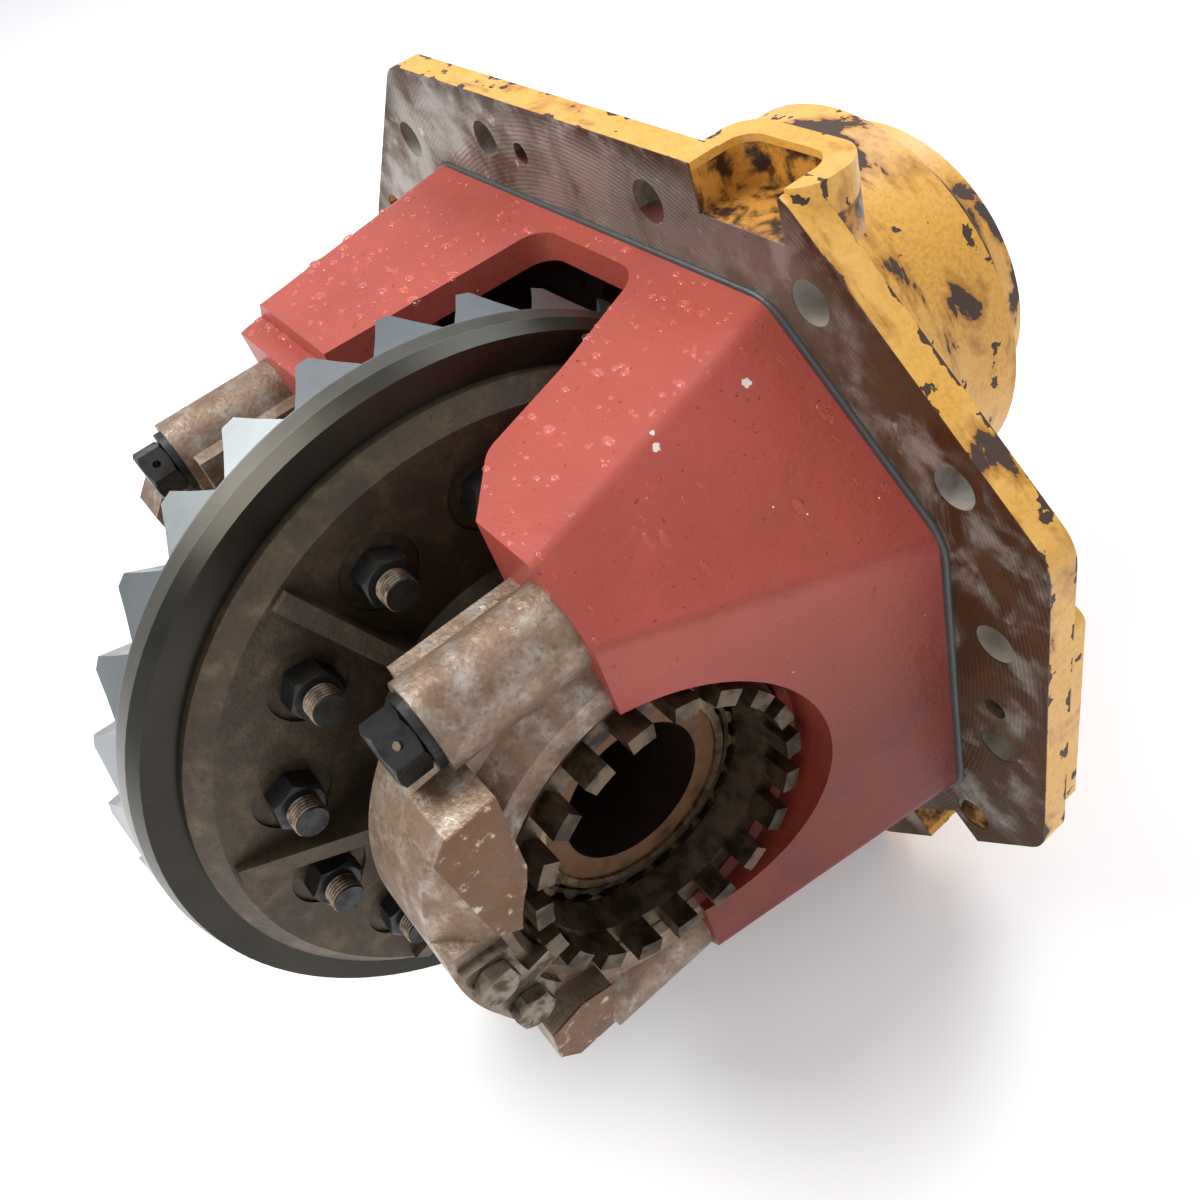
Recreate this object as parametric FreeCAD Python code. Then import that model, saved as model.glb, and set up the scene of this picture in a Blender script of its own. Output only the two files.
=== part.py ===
import FreeCAD, Part
import math
import os

# Differential carrier of a wheel loader drive axle.
# X is the axle axis, Y the pinion axis and Z is up, in millimetres.
# The origin is the centre of the machined mounting face, which faces -Y.
# Angles round the axle axis run from +Y towards +Z.

V = FreeCAD.Vector

# Main axes
axis_setback = 156.0
pinion_offset = 28.0
bearing_mid = 29.5

# Mounting flange
flange_width = 588.0
flange_height = 476.0
flange_chamfer = 130.0
flange_thickness = 17.0
flange_corner_r = 26.0
flange_hole_r = 11.0
hole_edge_gap = 27.0
side_hole_edge_gap = 29.0
top_hole_x = 72.0
side_hole_z = 40.0
upper_hole_inset = (120.0, 47.0)
outer_hole_inset = (48.0, 112.0)
jack_hole_r = 6.0
jack_top_x = 37.0
jack_side_z = 10.0
jack_side_edge_gap = 30.0
flange_pad_height = 8.0
flange_pad_top_z = 62.0
flange_pad_length = 150.0
flange_pad_width = 40.0
pocket_depth = 23.0
pocket_length = 54.0
pocket_reach = 16.0
pocket_wall = 11.0
pocket_inset = 157.0

# Carrier casting, from the flange forward to the bearing split plane
casting_wall = 16.0
root_edge_r = 14.0
root_ledge_x = 56.0
root_ledge_z = 54.0
root_near_top_x = 145.0
root_near_crease_z = 91.0
root_near_low_z = -100.0
root_near_low_x = 154.0
root_far_top_x = -139.0
root_far_crease_z = 85.0
leg_near_x = 198.0
leg_near_top_x = 168.0
leg_near_top_z = 160.0
leg_near_crease_z = 130.0
leg_far_x = -137.0
leg_far_top_x = -127.0
leg_far_top_z = 170.0
leg_far_crease_z = 160.0
leg_front_setback = 16.0
window_far_back_x = -14.0
window_near_back_x = 70.0
window_back_y = 142.0
window_near_mid_x = 88.0
window_near_mid_y = 80.0
window_near_front_x = 98.0
window_near_front_y = 27.0
window_far_front_x = -58.0
window_corner_r = 18.0
window_inner_z = 90.0

# Nose of the casting, behind the flange: places along the pinion axis and radii there
nose_profile = [(17.0, 199.0), (40.0, 187.0), (60.0, 172.0), (80.0, 157.0), (100.0, 145.0), (125.0, 136.0)]
nose_shoulder_y = 183.0
nose_shoulder_r = 131.0
nose_end_y = 208.0
nose_end_r = 99.0
nose_cavity = [(-1.0, 176.0), (38.0, 168.0), (58.0, 152.0), (76.0, 138.0), (90.0, 104.0)]
cage_pilot_r = 86.0

# Side bearings, 105 x 160 x 43 tapered rollers
bearing_bore_r = 52.5
bearing_cup_r = 80.0
bearing_width = 43.0
bearing_inner_off = 99.5
bearing_cup_width = 34.0
fit_gap = 0.05
running_gap = 0.3

# Bearing caps and their fasteners
cap_face_off = 163.5
cap_inner_off = 97.5
cap_outer_r = 120.0
cap_edge_r = 102.0
cap_slope = 15.0
cap_bolt_off = 140.5
cap_bolt_z = 126.0
cap_boss_r = 22.0
cap_boss_y = 69.0
cap_foot_off = 108.5
cap_foot_z = 134.0
cap_foot_step = 5.0
cap_foot_reach = 12.0
cap_bore_mouth_r = 88.0
cap_mouth_depth = 4.0
mouth_reach = 60.0
pedestal_depth = 88.0
far_roof_step_x = 60.0
far_roof_step_z = 158.0
cap_bolt_r = 9.0
cap_bolt_af = 27.0
cap_bolt_head = 16.0
cap_bolt_reach = 52.0
washer_r = 18.0
washer_thickness = 4.0
dowel_r = 12.0
dowel_half = 10.0
block_outline = [(-64.0, 109.0), (-68.0, 61.0), (-82.0, 26.0), (-94.0, 36.0), (-98.0, 98.0), (-89.0, 107.0)]
low_block_outline = [
    (-64.0, -62.0), (-81.0, -57.0), (-101.0, -62.0), (-104.0, -82.0), (-95.0, -93.0), (-72.0, -93.0),
]
block_height = 15.0

# Castellated adjusters and their lock plates
adjuster_thread_r = 84.0
adjuster_bore_r = 66.0
adjuster_body = 17.0
adjuster_lugs = 19
lug_outer_r = 80.0
lug_inner_r = 71.0
lug_height = 17.0
lug_share = 0.54
lug_centre_angle = 183.3
lock_plate_thickness = 6.0
lock_plate_inner_r = 93.0
lock_plate_outer_r = 117.0
lock_plate_from = 173.5
lock_plate_to = 208.0
lock_finger_angle = 6.4
lock_finger_r = 74.0
lock_bolt_radius = 106.0
lock_bolt_angles = [180.0, 200.0]
lock_bolt_r = 6.0
lock_bolt_af = 19.0
lock_bolt_head = 8.0
lock_bolt_reach = 22.0

# Crown wheel and pinion
ring_teeth = 31
pinion_teeth = 5
ring_back_x = 67.6
ring_edge_x = 58.3
ring_edge_r = 204.0
ring_back_r = 200.6
ring_bore_r = 116.0
ring_web_x = 50.0
ring_toe_r = 156.0
ring_heel_r = 205.0
heel_tilt = 0.163
tooth_tip_x = 24.0
tooth_depth = 24.0
tip_share = 0.17
root_share = 0.86
root_slope = 0.2
spiral_angle = 30.0
mesh_backlash = 4.9
mesh_clearance = 3.0
flank_steps = 5
pinion_shank_r = 37.5
pinion_shoulder_r = 45.0
ring_bolt_circle_r = 137.5
ring_bolt_count = 14
ring_bolt_r = 8.0
ring_bolt_af = 24.0
ring_bolt_head = 9.0
ring_nut_height = 14.0
ring_bolt_tip_x = 105.5
ring_bolt_first = 105.8

# Differential case
case_bore_r = 40.0
case_shoulder_r = 66.0
case_flange_x = 82.0
case_flange_r = 184.0
case_flange_edge_r = 174.0
case_barrel_r = 100.0
case_pilot_x = 46.0
case_hub_r = 88.0
case_hub_end_x = 122.0
trunnion_length = 41.0
spotface_r = 20.0
spotface_depth = 2.0
rib_count = 7
rib_thickness = 10.0
rib_first = 117.9
rib_outer_r = 172.0
rib_outer_x = 90.0
rib_inner_r = 84.0
rib_inner_x = 119.0
cavity_r = 72.0
case_bolt_circle_r = 87.0
case_bolt_r = 5.0
case_bolt_af = 16.0
case_bolt_head = 8.0
case_bolt_reach = 30.0
case_step_x = -38.0
case_far_face_r = 97.0

# Bevel gears inside the case
side_teeth = 16
spider_teeth = 10
bevel_module = 7.0
bevel_face = 20.0
side_gear_back = 14.0
side_gear_hub_r = 37.0
side_gear_bore_r = 27.0
side_gear_hub_end = 66.0
thrust_washer = 2.0
spider_washer = 1.5
cross_arm_r = 13.0
cross_arm_reach = 96.0
cross_boss_r = 19.0

# Pinion bearings, cage and companion flange
head_bearing_y = 60.0
head_cup_r = 75.0
tail_bearing_y = 166.0
tail_shank_r = 32.5
tail_cup_r = 70.0
cage_bore_r = 62.0
cage_flange_thickness = 16.0
cage_flange_r = 103.0
cage_shim = 1.0
cage_bolt_circle_r = 93.0
cage_bolt_count = 8
cage_bolt_r = 4.0
cage_bolt_af = 13.0
cage_bolt_head = 5.5
cage_bolt_reach = 20.0
cage_sink_r = 8.6
cage_sink_depth = 6.0
seal_width = 12.0
seal_inner_r = 45.0
seal_outer_r = 60.0
yoke_disc_y = 232.0
yoke_disc_thickness = 12.0
yoke_disc_r = 78.0
yoke_pilot_r = 49.0
yoke_recess_r = 43.0
yoke_hub_r = 44.6
yoke_bolt_circle_r = 63.0
yoke_bolt_hole_r = 5.5
yoke_bolt_count = 8
pinion_spline_r = 28.0
pinion_thread_r = 22.0
pinion_washer_r = 40.0
pinion_nut_af = 60.0
pinion_nut_height = 17.0
pinion_end_y = 262.0

# Hexagon heads and nuts
hex_end_share = 0.95
hex_end_angle = 30.0
lock_wire_hole_r = 2.2

# Values that follow from the sizes above
axis_y = -axis_setback
near = 1.0
far = -1.0
thread_off = bearing_inner_off + bearing_width
lug_base_off = thread_off + adjuster_body
half_width = flange_width / 2.0
half_height = flange_height / 2.0
root_near_x = half_width - root_ledge_x
root_top_z = half_height - root_ledge_z
pocket_top_x = half_width - pocket_inset
flange_holes = [
    (top_hole_x, half_height - hole_edge_gap),
    (half_width - upper_hole_inset[0], half_height - upper_hole_inset[1]),
    (half_width - outer_hole_inset[0], half_height - outer_hole_inset[1]),
    (half_width - side_hole_edge_gap, side_hole_z),
]
jack_holes = [
    (-jack_top_x, half_height - hole_edge_gap),
    (half_width - jack_side_edge_gap, -jack_side_z),
    (jack_top_x, hole_edge_gap - half_height),
    (jack_side_edge_gap - half_width, jack_side_z),
]
beyond = flange_width
tooth_root_x = tooth_tip_x + tooth_depth
ring_pitch = 2.0 * math.pi / ring_teeth


class Axis:
    """A turning axis: a place on it, its direction and one direction square to it."""

    def __init__(self, origin, along, out):
        self.origin = origin
        self.along = along
        self.out = out
        self.side = along.cross(out)

    def at(self, a, r, angle=0.0):
        turn = math.radians(angle)
        flat = self.out * (r * math.cos(turn)) + self.side * (r * math.sin(turn))
        return self.origin + self.along * a + flat


axle = Axis(V(0, axis_y, 0), V(1, 0, 0), V(0, 1, 0))
pinion_axis = Axis(V(0, 0, pinion_offset), V(0, 1, 0), V(1, 0, 0))


def side_x(side, offset):
    return bearing_mid + side * offset


def side_axis(side):
    return Axis(V(bearing_mid, axis_y, 0), V(side, 0, 0), V(0, 1, 0))


def polygon_face(points):
    return Part.Face(Part.makePolygon(points + [points[0]]))


def turned(axis, outline):
    face = polygon_face([axis.at(a, r) for a, r in outline])
    return face.revolve(axis.origin, axis.along, 360)


def ring(axis, start, end, inner, outer):
    return turned(axis, [(start, inner), (end, inner), (end, outer), (start, outer)])


def rod(axis, start, end, radius, r=0.0, angle=0.0):
    base = axis.at(start, r, angle)
    return Part.makeCylinder(radius, abs(end - start), base, axis.along * (1 if end > start else -1))


def box(x, y, z):
    return Part.makeBox(x[1] - x[0], y[1] - y[0], z[1] - z[0], V(x[0], y[0], z[0]))


def hexagon(base, along, across_flats, height, turn=0.0):
    """Hexagon whose corners are turned off at both ends, as on a bolt head or a nut."""
    radius = across_flats / math.sqrt(3.0)
    local = Axis(base, along, V(0, 0, 1))
    corners = [local.at(0, radius, turn + 60.0 * i) for i in range(6)]
    end_r = across_flats * hex_end_share / 2.0
    fall = (radius - end_r) * math.tan(math.radians(hex_end_angle))
    envelope = turned(local, [(0.0, 0.0), (0.0, end_r), (fall, radius), (height - fall, radius),
                              (height, end_r), (height, 0.0)])
    return polygon_face(corners).extrude(along * height).common(envelope)


def rounded_wire(points, radius, place):
    """Closed outline through the points, with each corner rounded, set in space by place."""
    edges = []
    first = None
    last = None
    count = len(points)
    for i in range(count):
        before = V(*points[i - 1], 0)
        here = V(*points[i], 0)
        after = V(*points[(i + 1) % count], 0)
        back = (before - here).normalize()
        ahead = (after - here).normalize()
        half = back.getAngle(ahead) / 2.0
        reach = radius / math.tan(half)
        bisector = (back + ahead).normalize()
        centre = here + bisector * (radius / math.sin(half))
        start = here + back * reach
        end = here + ahead * reach
        middle = centre - bisector * radius
        if last is not None:
            edges.append(Part.makeLine(place(last.x, last.y), place(start.x, start.y)))
        else:
            first = start
        arc = Part.Arc(place(start.x, start.y), place(middle.x, middle.y), place(end.x, end.y))
        edges.append(arc.toShape())
        last = end
    edges.append(Part.makeLine(place(last.x, last.y), place(first.x, first.y)))
    return Part.Wire(edges)


def rounded_plate(points, radius, y0, y1):
    wire = rounded_wire(points, radius, lambda x, z: V(x, y0, z))
    return Part.Face(wire).extrude(V(0, y1 - y0, 0))


def octagon(half_x, half_z, chamfer):
    cut_x = half_x - chamfer
    cut_z = half_z - chamfer
    upper = [(cut_x, half_z), (half_x, cut_z), (half_x, -cut_z), (cut_x, -half_z)]
    return upper + [(-x, -z) for x, z in upper]


# Carrier casting


def root_section(inset):
    return [
        (root_near_top_x - inset * 0.4, root_top_z - inset),
        (root_near_x - inset, root_near_crease_z - inset * 0.4),
        (root_near_x - inset, root_near_low_z + inset * 0.4),
        (root_near_low_x - inset * 0.4, -root_top_z + inset),
        (root_far_top_x + inset * 0.4, -root_top_z + inset),
        (-root_near_x + inset, -root_far_crease_z + inset * 0.4),
        (-root_near_x + inset, root_far_crease_z - inset * 0.4),
        (root_far_top_x + inset * 0.4, root_top_z - inset),
    ]


def leg_section(inset):
    near_part = [
        (leg_near_top_x - inset * 0.4, leg_near_top_z - inset),
        (leg_near_x - inset, leg_near_crease_z - inset * 0.4),
    ]
    far_part = [
        (leg_far_x + inset, leg_far_crease_z - inset),
        (leg_far_top_x + inset, leg_far_top_z - inset),
    ]
    lower_near = [(x, -z) for x, z in reversed(near_part)]
    lower_far = [(x, -z) for x, z in reversed(far_part)]
    return near_part + lower_near + lower_far + far_part


def leg_loft(inset, corner_r, front, back):
    """Tapered eight-sided body; front and back are how far it runs past its two sections."""
    wide = rounded_wire(root_section(inset), corner_r, lambda x, z: V(x, back, z))
    slim = rounded_wire(leg_section(inset), corner_r * 0.5, lambda x, z: V(x, axis_y - front, z))
    return Part.makeLoft([wide, slim], True, True)


def pocket_block(half, floor, top, front, back, corner, place):
    """Block with a rounded back, upright on the flange's edge, then turned and moved to its place."""
    outline = [(-half, front), (half, front), (half, back), (-half, back)]
    wire = rounded_wire(outline, corner, lambda u, y: V(u, y, floor))
    block = Part.Face(wire).extrude(V(0, 0, top - floor))
    x, z, angle = place
    block.rotate(V(0, 0, 0), V(0, 1, 0), angle)
    block.translate(V(x, 0, z))
    return block


def pocket_cup(place):
    half = pocket_length / 2.0 + pocket_wall
    back = flange_thickness + pocket_reach + pocket_wall
    return pocket_block(half, -pocket_depth - pocket_wall, -0.5, 3.0, back, half * 0.45, place)


def pocket_hollow(place):
    half = pocket_length / 2.0
    back = flange_thickness + pocket_reach
    return pocket_block(half, -pocket_depth, 30.0, -20.0, back, half * 0.45, place)


def pocket_places():
    slant_x = (flange_width - flange_chamfer) / 2.0
    slant_z = (flange_height - flange_chamfer) / 2.0
    return [(pocket_top_x, flange_height / 2.0, 0.0), (slant_x, -slant_z, 135.0)]


def window_cutter(z0, z1):
    points = [
        (window_far_back_x, window_back_y),
        (window_near_back_x, window_back_y),
        (window_near_mid_x, window_near_mid_y),
        (window_near_front_x, window_near_front_y),
        (leg_near_top_x, -window_corner_r * 2),
        (window_far_front_x, -window_corner_r * 2),
    ]
    wire = rounded_wire(points, window_corner_r, lambda x, y: V(x, axis_y + y, z0))
    return Part.Face(wire).extrude(V(0, 0, z1 - z0))


def pedestal_block(side):
    """Space inside the legs that stays solid, to carry the bearing."""
    inner = side_x(side, cap_inner_off)
    outer = side_x(side, cap_face_off + mouth_reach)
    span = (min(inner, outer), max(inner, outer))
    return box(span, (axis_y - 10.0, axis_y + pedestal_depth), (-root_top_z, root_top_z))


def bearing_bores(side):
    axis = side_axis(side)
    seat = rod(axis, cap_inner_off - 40.0, thread_off, bearing_cup_r + fit_gap)
    thread = rod(axis, thread_off, cap_face_off, adjuster_thread_r)
    mouth = turned(axis, [
        (cap_face_off - cap_mouth_depth, 0.0),
        (cap_face_off - cap_mouth_depth, adjuster_thread_r),
        (cap_face_off, cap_bore_mouth_r),
        (cap_face_off + mouth_reach, cap_bore_mouth_r),
        (cap_face_off + mouth_reach, 0.0),
    ])
    return seat.fuse(thread).fuse(mouth)


def cap_bolt_holes(side, depth):
    holes = []
    for z in (-cap_bolt_z, cap_bolt_z):
        place = V(side_x(side, cap_bolt_off), axis_y - cap_boss_y - 1.0, z)
        holes.append(Part.makeCylinder(cap_bolt_r + 0.5, cap_boss_y + 1.0 + depth, place, V(0, 1, 0)))
        seat = V(place.x, axis_y - dowel_half, z)
        holes.append(Part.makeCylinder(dowel_r, 2.0 * dowel_half, seat, V(0, 1, 0)))
    return holes


def nose_body():
    points = [pinion_axis.at(a, r) for a, r in nose_profile]
    points.append(pinion_axis.at(nose_shoulder_y, nose_shoulder_r))
    curve = Part.BSplineCurve()
    curve.interpolate(points)
    first = pinion_axis.at(1.0, nose_profile[0][1])
    corners = [points[-1], pinion_axis.at(nose_shoulder_y + 7.0, nose_shoulder_r - 8.0),
               pinion_axis.at(nose_end_y - 7.0, nose_end_r + 2.0), pinion_axis.at(nose_end_y, nose_end_r),
               pinion_axis.at(nose_end_y, 0.0), pinion_axis.at(1.0, 0.0), first, points[0]]
    edges = [curve.toShape()]
    for here, there in zip(corners, corners[1:]):
        edges.append(Part.makeLine(here, there))
    face = Part.Face(Part.Wire(edges))
    return face.revolve(pinion_axis.origin, pinion_axis.along, 360)


def nose_hollow():
    outline = [(nose_cavity[0][0], 0.0)] + nose_cavity
    outline += [(nose_cavity[-1][0], cage_pilot_r), (nose_end_y + 1.0, cage_pilot_r)]
    outline += [(nose_end_y + 1.0, 0.0)]
    lip = box((-beyond, beyond), (-beyond, flange_thickness), (root_top_z - casting_wall, beyond))
    return turned(pinion_axis, outline).cut(lip)


def cage_bolt_places():
    step = 360.0 / cage_bolt_count
    return [step * (i + 0.5) for i in range(cage_bolt_count)]


def carrier_housing():
    outer = leg_loft(0.0, root_edge_r, 0.0, 0.0)
    hollow = leg_loft(casting_wall, root_edge_r * 0.6, 2.0, 3.0)
    plate = rounded_plate(
        octagon(flange_width / 2, flange_height / 2, flange_chamfer),
        flange_corner_r, 0.0, flange_thickness,
    )
    body = outer.fuse(plate).fuse(nose_body())
    for sign in (-1.0, 1.0):
        edge = sign * flange_width / 2.0
        inner = edge - sign * flange_pad_width
        top = sign * flange_pad_top_z
        low = top - sign * flange_pad_length
        corners = [(inner, top), (edge, top), (edge, low), (inner, low)]
        body = body.fuse(rounded_plate(corners, 9.0, flange_thickness - 2.0,
                                       flange_thickness + flange_pad_height))
    for place in pocket_places():
        body = body.fuse(pocket_cup(place))
    for side in (near, far):
        hollow = hollow.cut(pedestal_block(side))
    body = body.cut(hollow)
    body = body.cut(nose_hollow())
    body = body.cut(window_cutter(window_inner_z, half_height))
    body = body.cut(window_cutter(-half_height, -window_inner_z))
    for side in (near, far):
        body = body.cut(bearing_bores(side))
        for hole in cap_bolt_holes(side, cap_bolt_reach):
            body = body.cut(hole)
    front = box((-beyond, far_roof_step_x), (axis_y - 1.0, axis_y + leg_front_setback),
                (far_roof_step_z, half_height))
    body = body.cut(front).cut(front.mirror(V(0, 0, 0), V(0, 0, 1)))
    cutters = [pocket_hollow(place) for place in pocket_places()]
    for x, z in flange_holes:
        for sx in (-1, 1):
            for sz in (-1, 1):
                place = V(sx * x, -1, sz * z)
                cutters.append(Part.makeCylinder(flange_hole_r, 60, place, V(0, 1, 0)))
    for x, z in jack_holes:
        cutters.append(Part.makeCylinder(jack_hole_r, 60, V(x, -1, z), V(0, 1, 0)))
    for angle in cage_bolt_places():
        cutters.append(rod(pinion_axis, nose_end_y - cage_bolt_reach - 4.0, nose_end_y + 1.0,
                           cage_bolt_r, cage_bolt_circle_r, angle))
    return body.cut(Part.makeCompound(cutters))


# Bearing caps, adjusters and locks


def pad_sector(axis, start, end, inner, outer, angle0, angle1):
    face = polygon_face([
        axis.at(start, inner, angle0),
        axis.at(end, inner, angle0),
        axis.at(end, outer, angle0),
        axis.at(start, outer, angle0),
    ])
    return face.revolve(axis.origin, axis.along, angle1 - angle0)


def bearing_cap(side):
    axis = side_axis(side)
    body = turned(axis, [
        (cap_inner_off, bearing_cup_r - 5.0),
        (cap_face_off, bearing_cup_r - 5.0),
        (cap_face_off, cap_edge_r),
        (cap_face_off - cap_slope, cap_outer_r),
        (cap_inner_off, cap_outer_r),
    ])
    bolt_x = side_x(side, cap_bolt_off)
    foot_x = sorted((side_x(side, cap_foot_off), bolt_x + side * cap_foot_reach))
    for sign in (-1.0, 1.0):
        z = sign * cap_bolt_z
        boss = Part.makeCylinder(cap_boss_r, cap_boss_y, V(bolt_x, axis_y - cap_boss_y, z), V(0, 1, 0))
        z_span = sorted((sign * bearing_cup_r, sign * cap_foot_z))
        foot = box(foot_x, (axis_y - cap_boss_y + cap_foot_step, axis_y), z_span)
        body = body.fuse(boss).fuse(foot)
    low = cap_face_off
    base_x = side_x(side, low - cap_slope)
    for outline in (block_outline, low_block_outline):
        block = polygon_face([V(base_x, axis_y + y, z) for y, z in outline])
        body = body.fuse(block.extrude(V(side * (cap_slope + block_height), 0, 0)))
    seat = pad_sector(axis, low - cap_slope, low, bearing_cup_r, lock_plate_outer_r + 3.0,
                      side * (lock_plate_from - 4.0), side * (lock_plate_to + 4.0))
    body = body.fuse(seat)
    keep = box((-beyond, beyond), (axis_y - beyond, axis_y), (-beyond, beyond))
    body = body.common(keep).cut(bearing_bores(side))
    for hole in cap_bolt_holes(side, 1.0):
        body = body.cut(hole)
    for angle in lock_bolt_angles:
        hole = rod(axis, low - lock_bolt_reach - 2.0, low + 20.0, lock_bolt_r,
                   lock_bolt_radius, side * angle)
        body = body.cut(hole)
    return body


def cap_bolts():
    bolts = []
    for side in (near, far):
        for z in (-cap_bolt_z, cap_bolt_z):
            x = side_x(side, cap_bolt_off)
            seat = axis_y - cap_boss_y - washer_thickness
            head = hexagon(V(x, seat - cap_bolt_head, z), V(0, 1, 0), cap_bolt_af, cap_bolt_head, 15.0)
            wire_axis = Axis(V(x, seat - cap_bolt_head / 2.0, z), V(0, 1, 0), V(0, 0, 1))
            wire_from = wire_axis.at(0, cap_bolt_af, 45.0)
            wire_run = wire_axis.at(0, cap_bolt_af, 225.0) - wire_from
            wire_hole = Part.makeCylinder(lock_wire_hole_r, wire_run.Length, wire_from, wire_run)
            length = cap_boss_y + washer_thickness + cap_bolt_reach - 2.0
            shank = Part.makeCylinder(cap_bolt_r, length, V(x, seat, z), V(0, 1, 0))
            bolts.append(head.cut(wire_hole).fuse(shank))
    return Part.makeCompound(bolts)


def cap_washers():
    washers = []
    for side in (near, far):
        for z in (-cap_bolt_z, cap_bolt_z):
            place = V(side_x(side, cap_bolt_off), axis_y - cap_boss_y - washer_thickness, z)
            disc = Part.makeCylinder(washer_r, washer_thickness, place, V(0, 1, 0))
            hole = Part.makeCylinder(cap_bolt_r + 0.5, washer_thickness, place, V(0, 1, 0))
            washers.append(disc.cut(hole))
    return Part.makeCompound(washers)


def cap_dowels():
    dowels = []
    for side in (near, far):
        for z in (-cap_bolt_z, cap_bolt_z):
            place = V(side_x(side, cap_bolt_off), axis_y - dowel_half, z)
            sleeve = Part.makeCylinder(dowel_r, 2 * dowel_half, place, V(0, 1, 0))
            hole = Part.makeCylinder(cap_bolt_r + 0.5, 2 * dowel_half, place, V(0, 1, 0))
            dowels.append(sleeve.cut(hole))
    return Part.makeCompound(dowels)


def adjuster(side):
    axis = side_axis(side)
    outer = adjuster_thread_r - fit_gap
    body = turned(axis, [
        (thread_off, adjuster_bore_r),
        (lug_base_off, adjuster_bore_r + 4.0),
        (lug_base_off, outer - 2.0),
        (lug_base_off - 2.0, outer),
        (thread_off, outer),
    ])
    step = 360.0 / adjuster_lugs
    width = step * lug_share
    for i in range(adjuster_lugs):
        start = side * (lug_centre_angle + i * step - width / 2.0)
        lug = pad_sector(axis, lug_base_off - 1.0, lug_base_off + lug_height, lug_inner_r,
                         lug_outer_r, start, start + side * width)
        body = body.fuse(lug)
    return body


def lock_plate(side):
    axis = side_axis(side)
    low = cap_face_off
    high = low + lock_plate_thickness
    body = pad_sector(axis, low, high, lock_plate_inner_r, lock_plate_outer_r,
                      side * lock_plate_from, side * lock_plate_to)
    gap_angle = lug_centre_angle + 180.0 / adjuster_lugs
    finger = pad_sector(axis, low, high, lock_finger_r, lock_plate_inner_r + 1.0,
                        side * (gap_angle - lock_finger_angle / 2.0),
                        side * (gap_angle + lock_finger_angle / 2.0))
    body = body.fuse(finger)
    for angle in lock_bolt_angles:
        hole = rod(axis, low - 1.0, high + 1.0, lock_bolt_r + 0.3, lock_bolt_radius, side * angle)
        body = body.cut(hole)
    return body


def lock_bolts():
    bolts = []
    for side in (near, far):
        axis = side_axis(side)
        seat = cap_face_off + lock_plate_thickness
        for angle in lock_bolt_angles:
            base = axis.at(seat, lock_bolt_radius, side * angle)
            head = hexagon(base, axis.along, lock_bolt_af, lock_bolt_head, 10.0)
            shank = rod(axis, seat, cap_face_off - lock_bolt_reach, lock_bolt_r,
                        lock_bolt_radius, side * angle)
            bolts.append(head.fuse(shank))
    return Part.makeCompound(bolts)


# Tapered roller bearings


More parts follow.
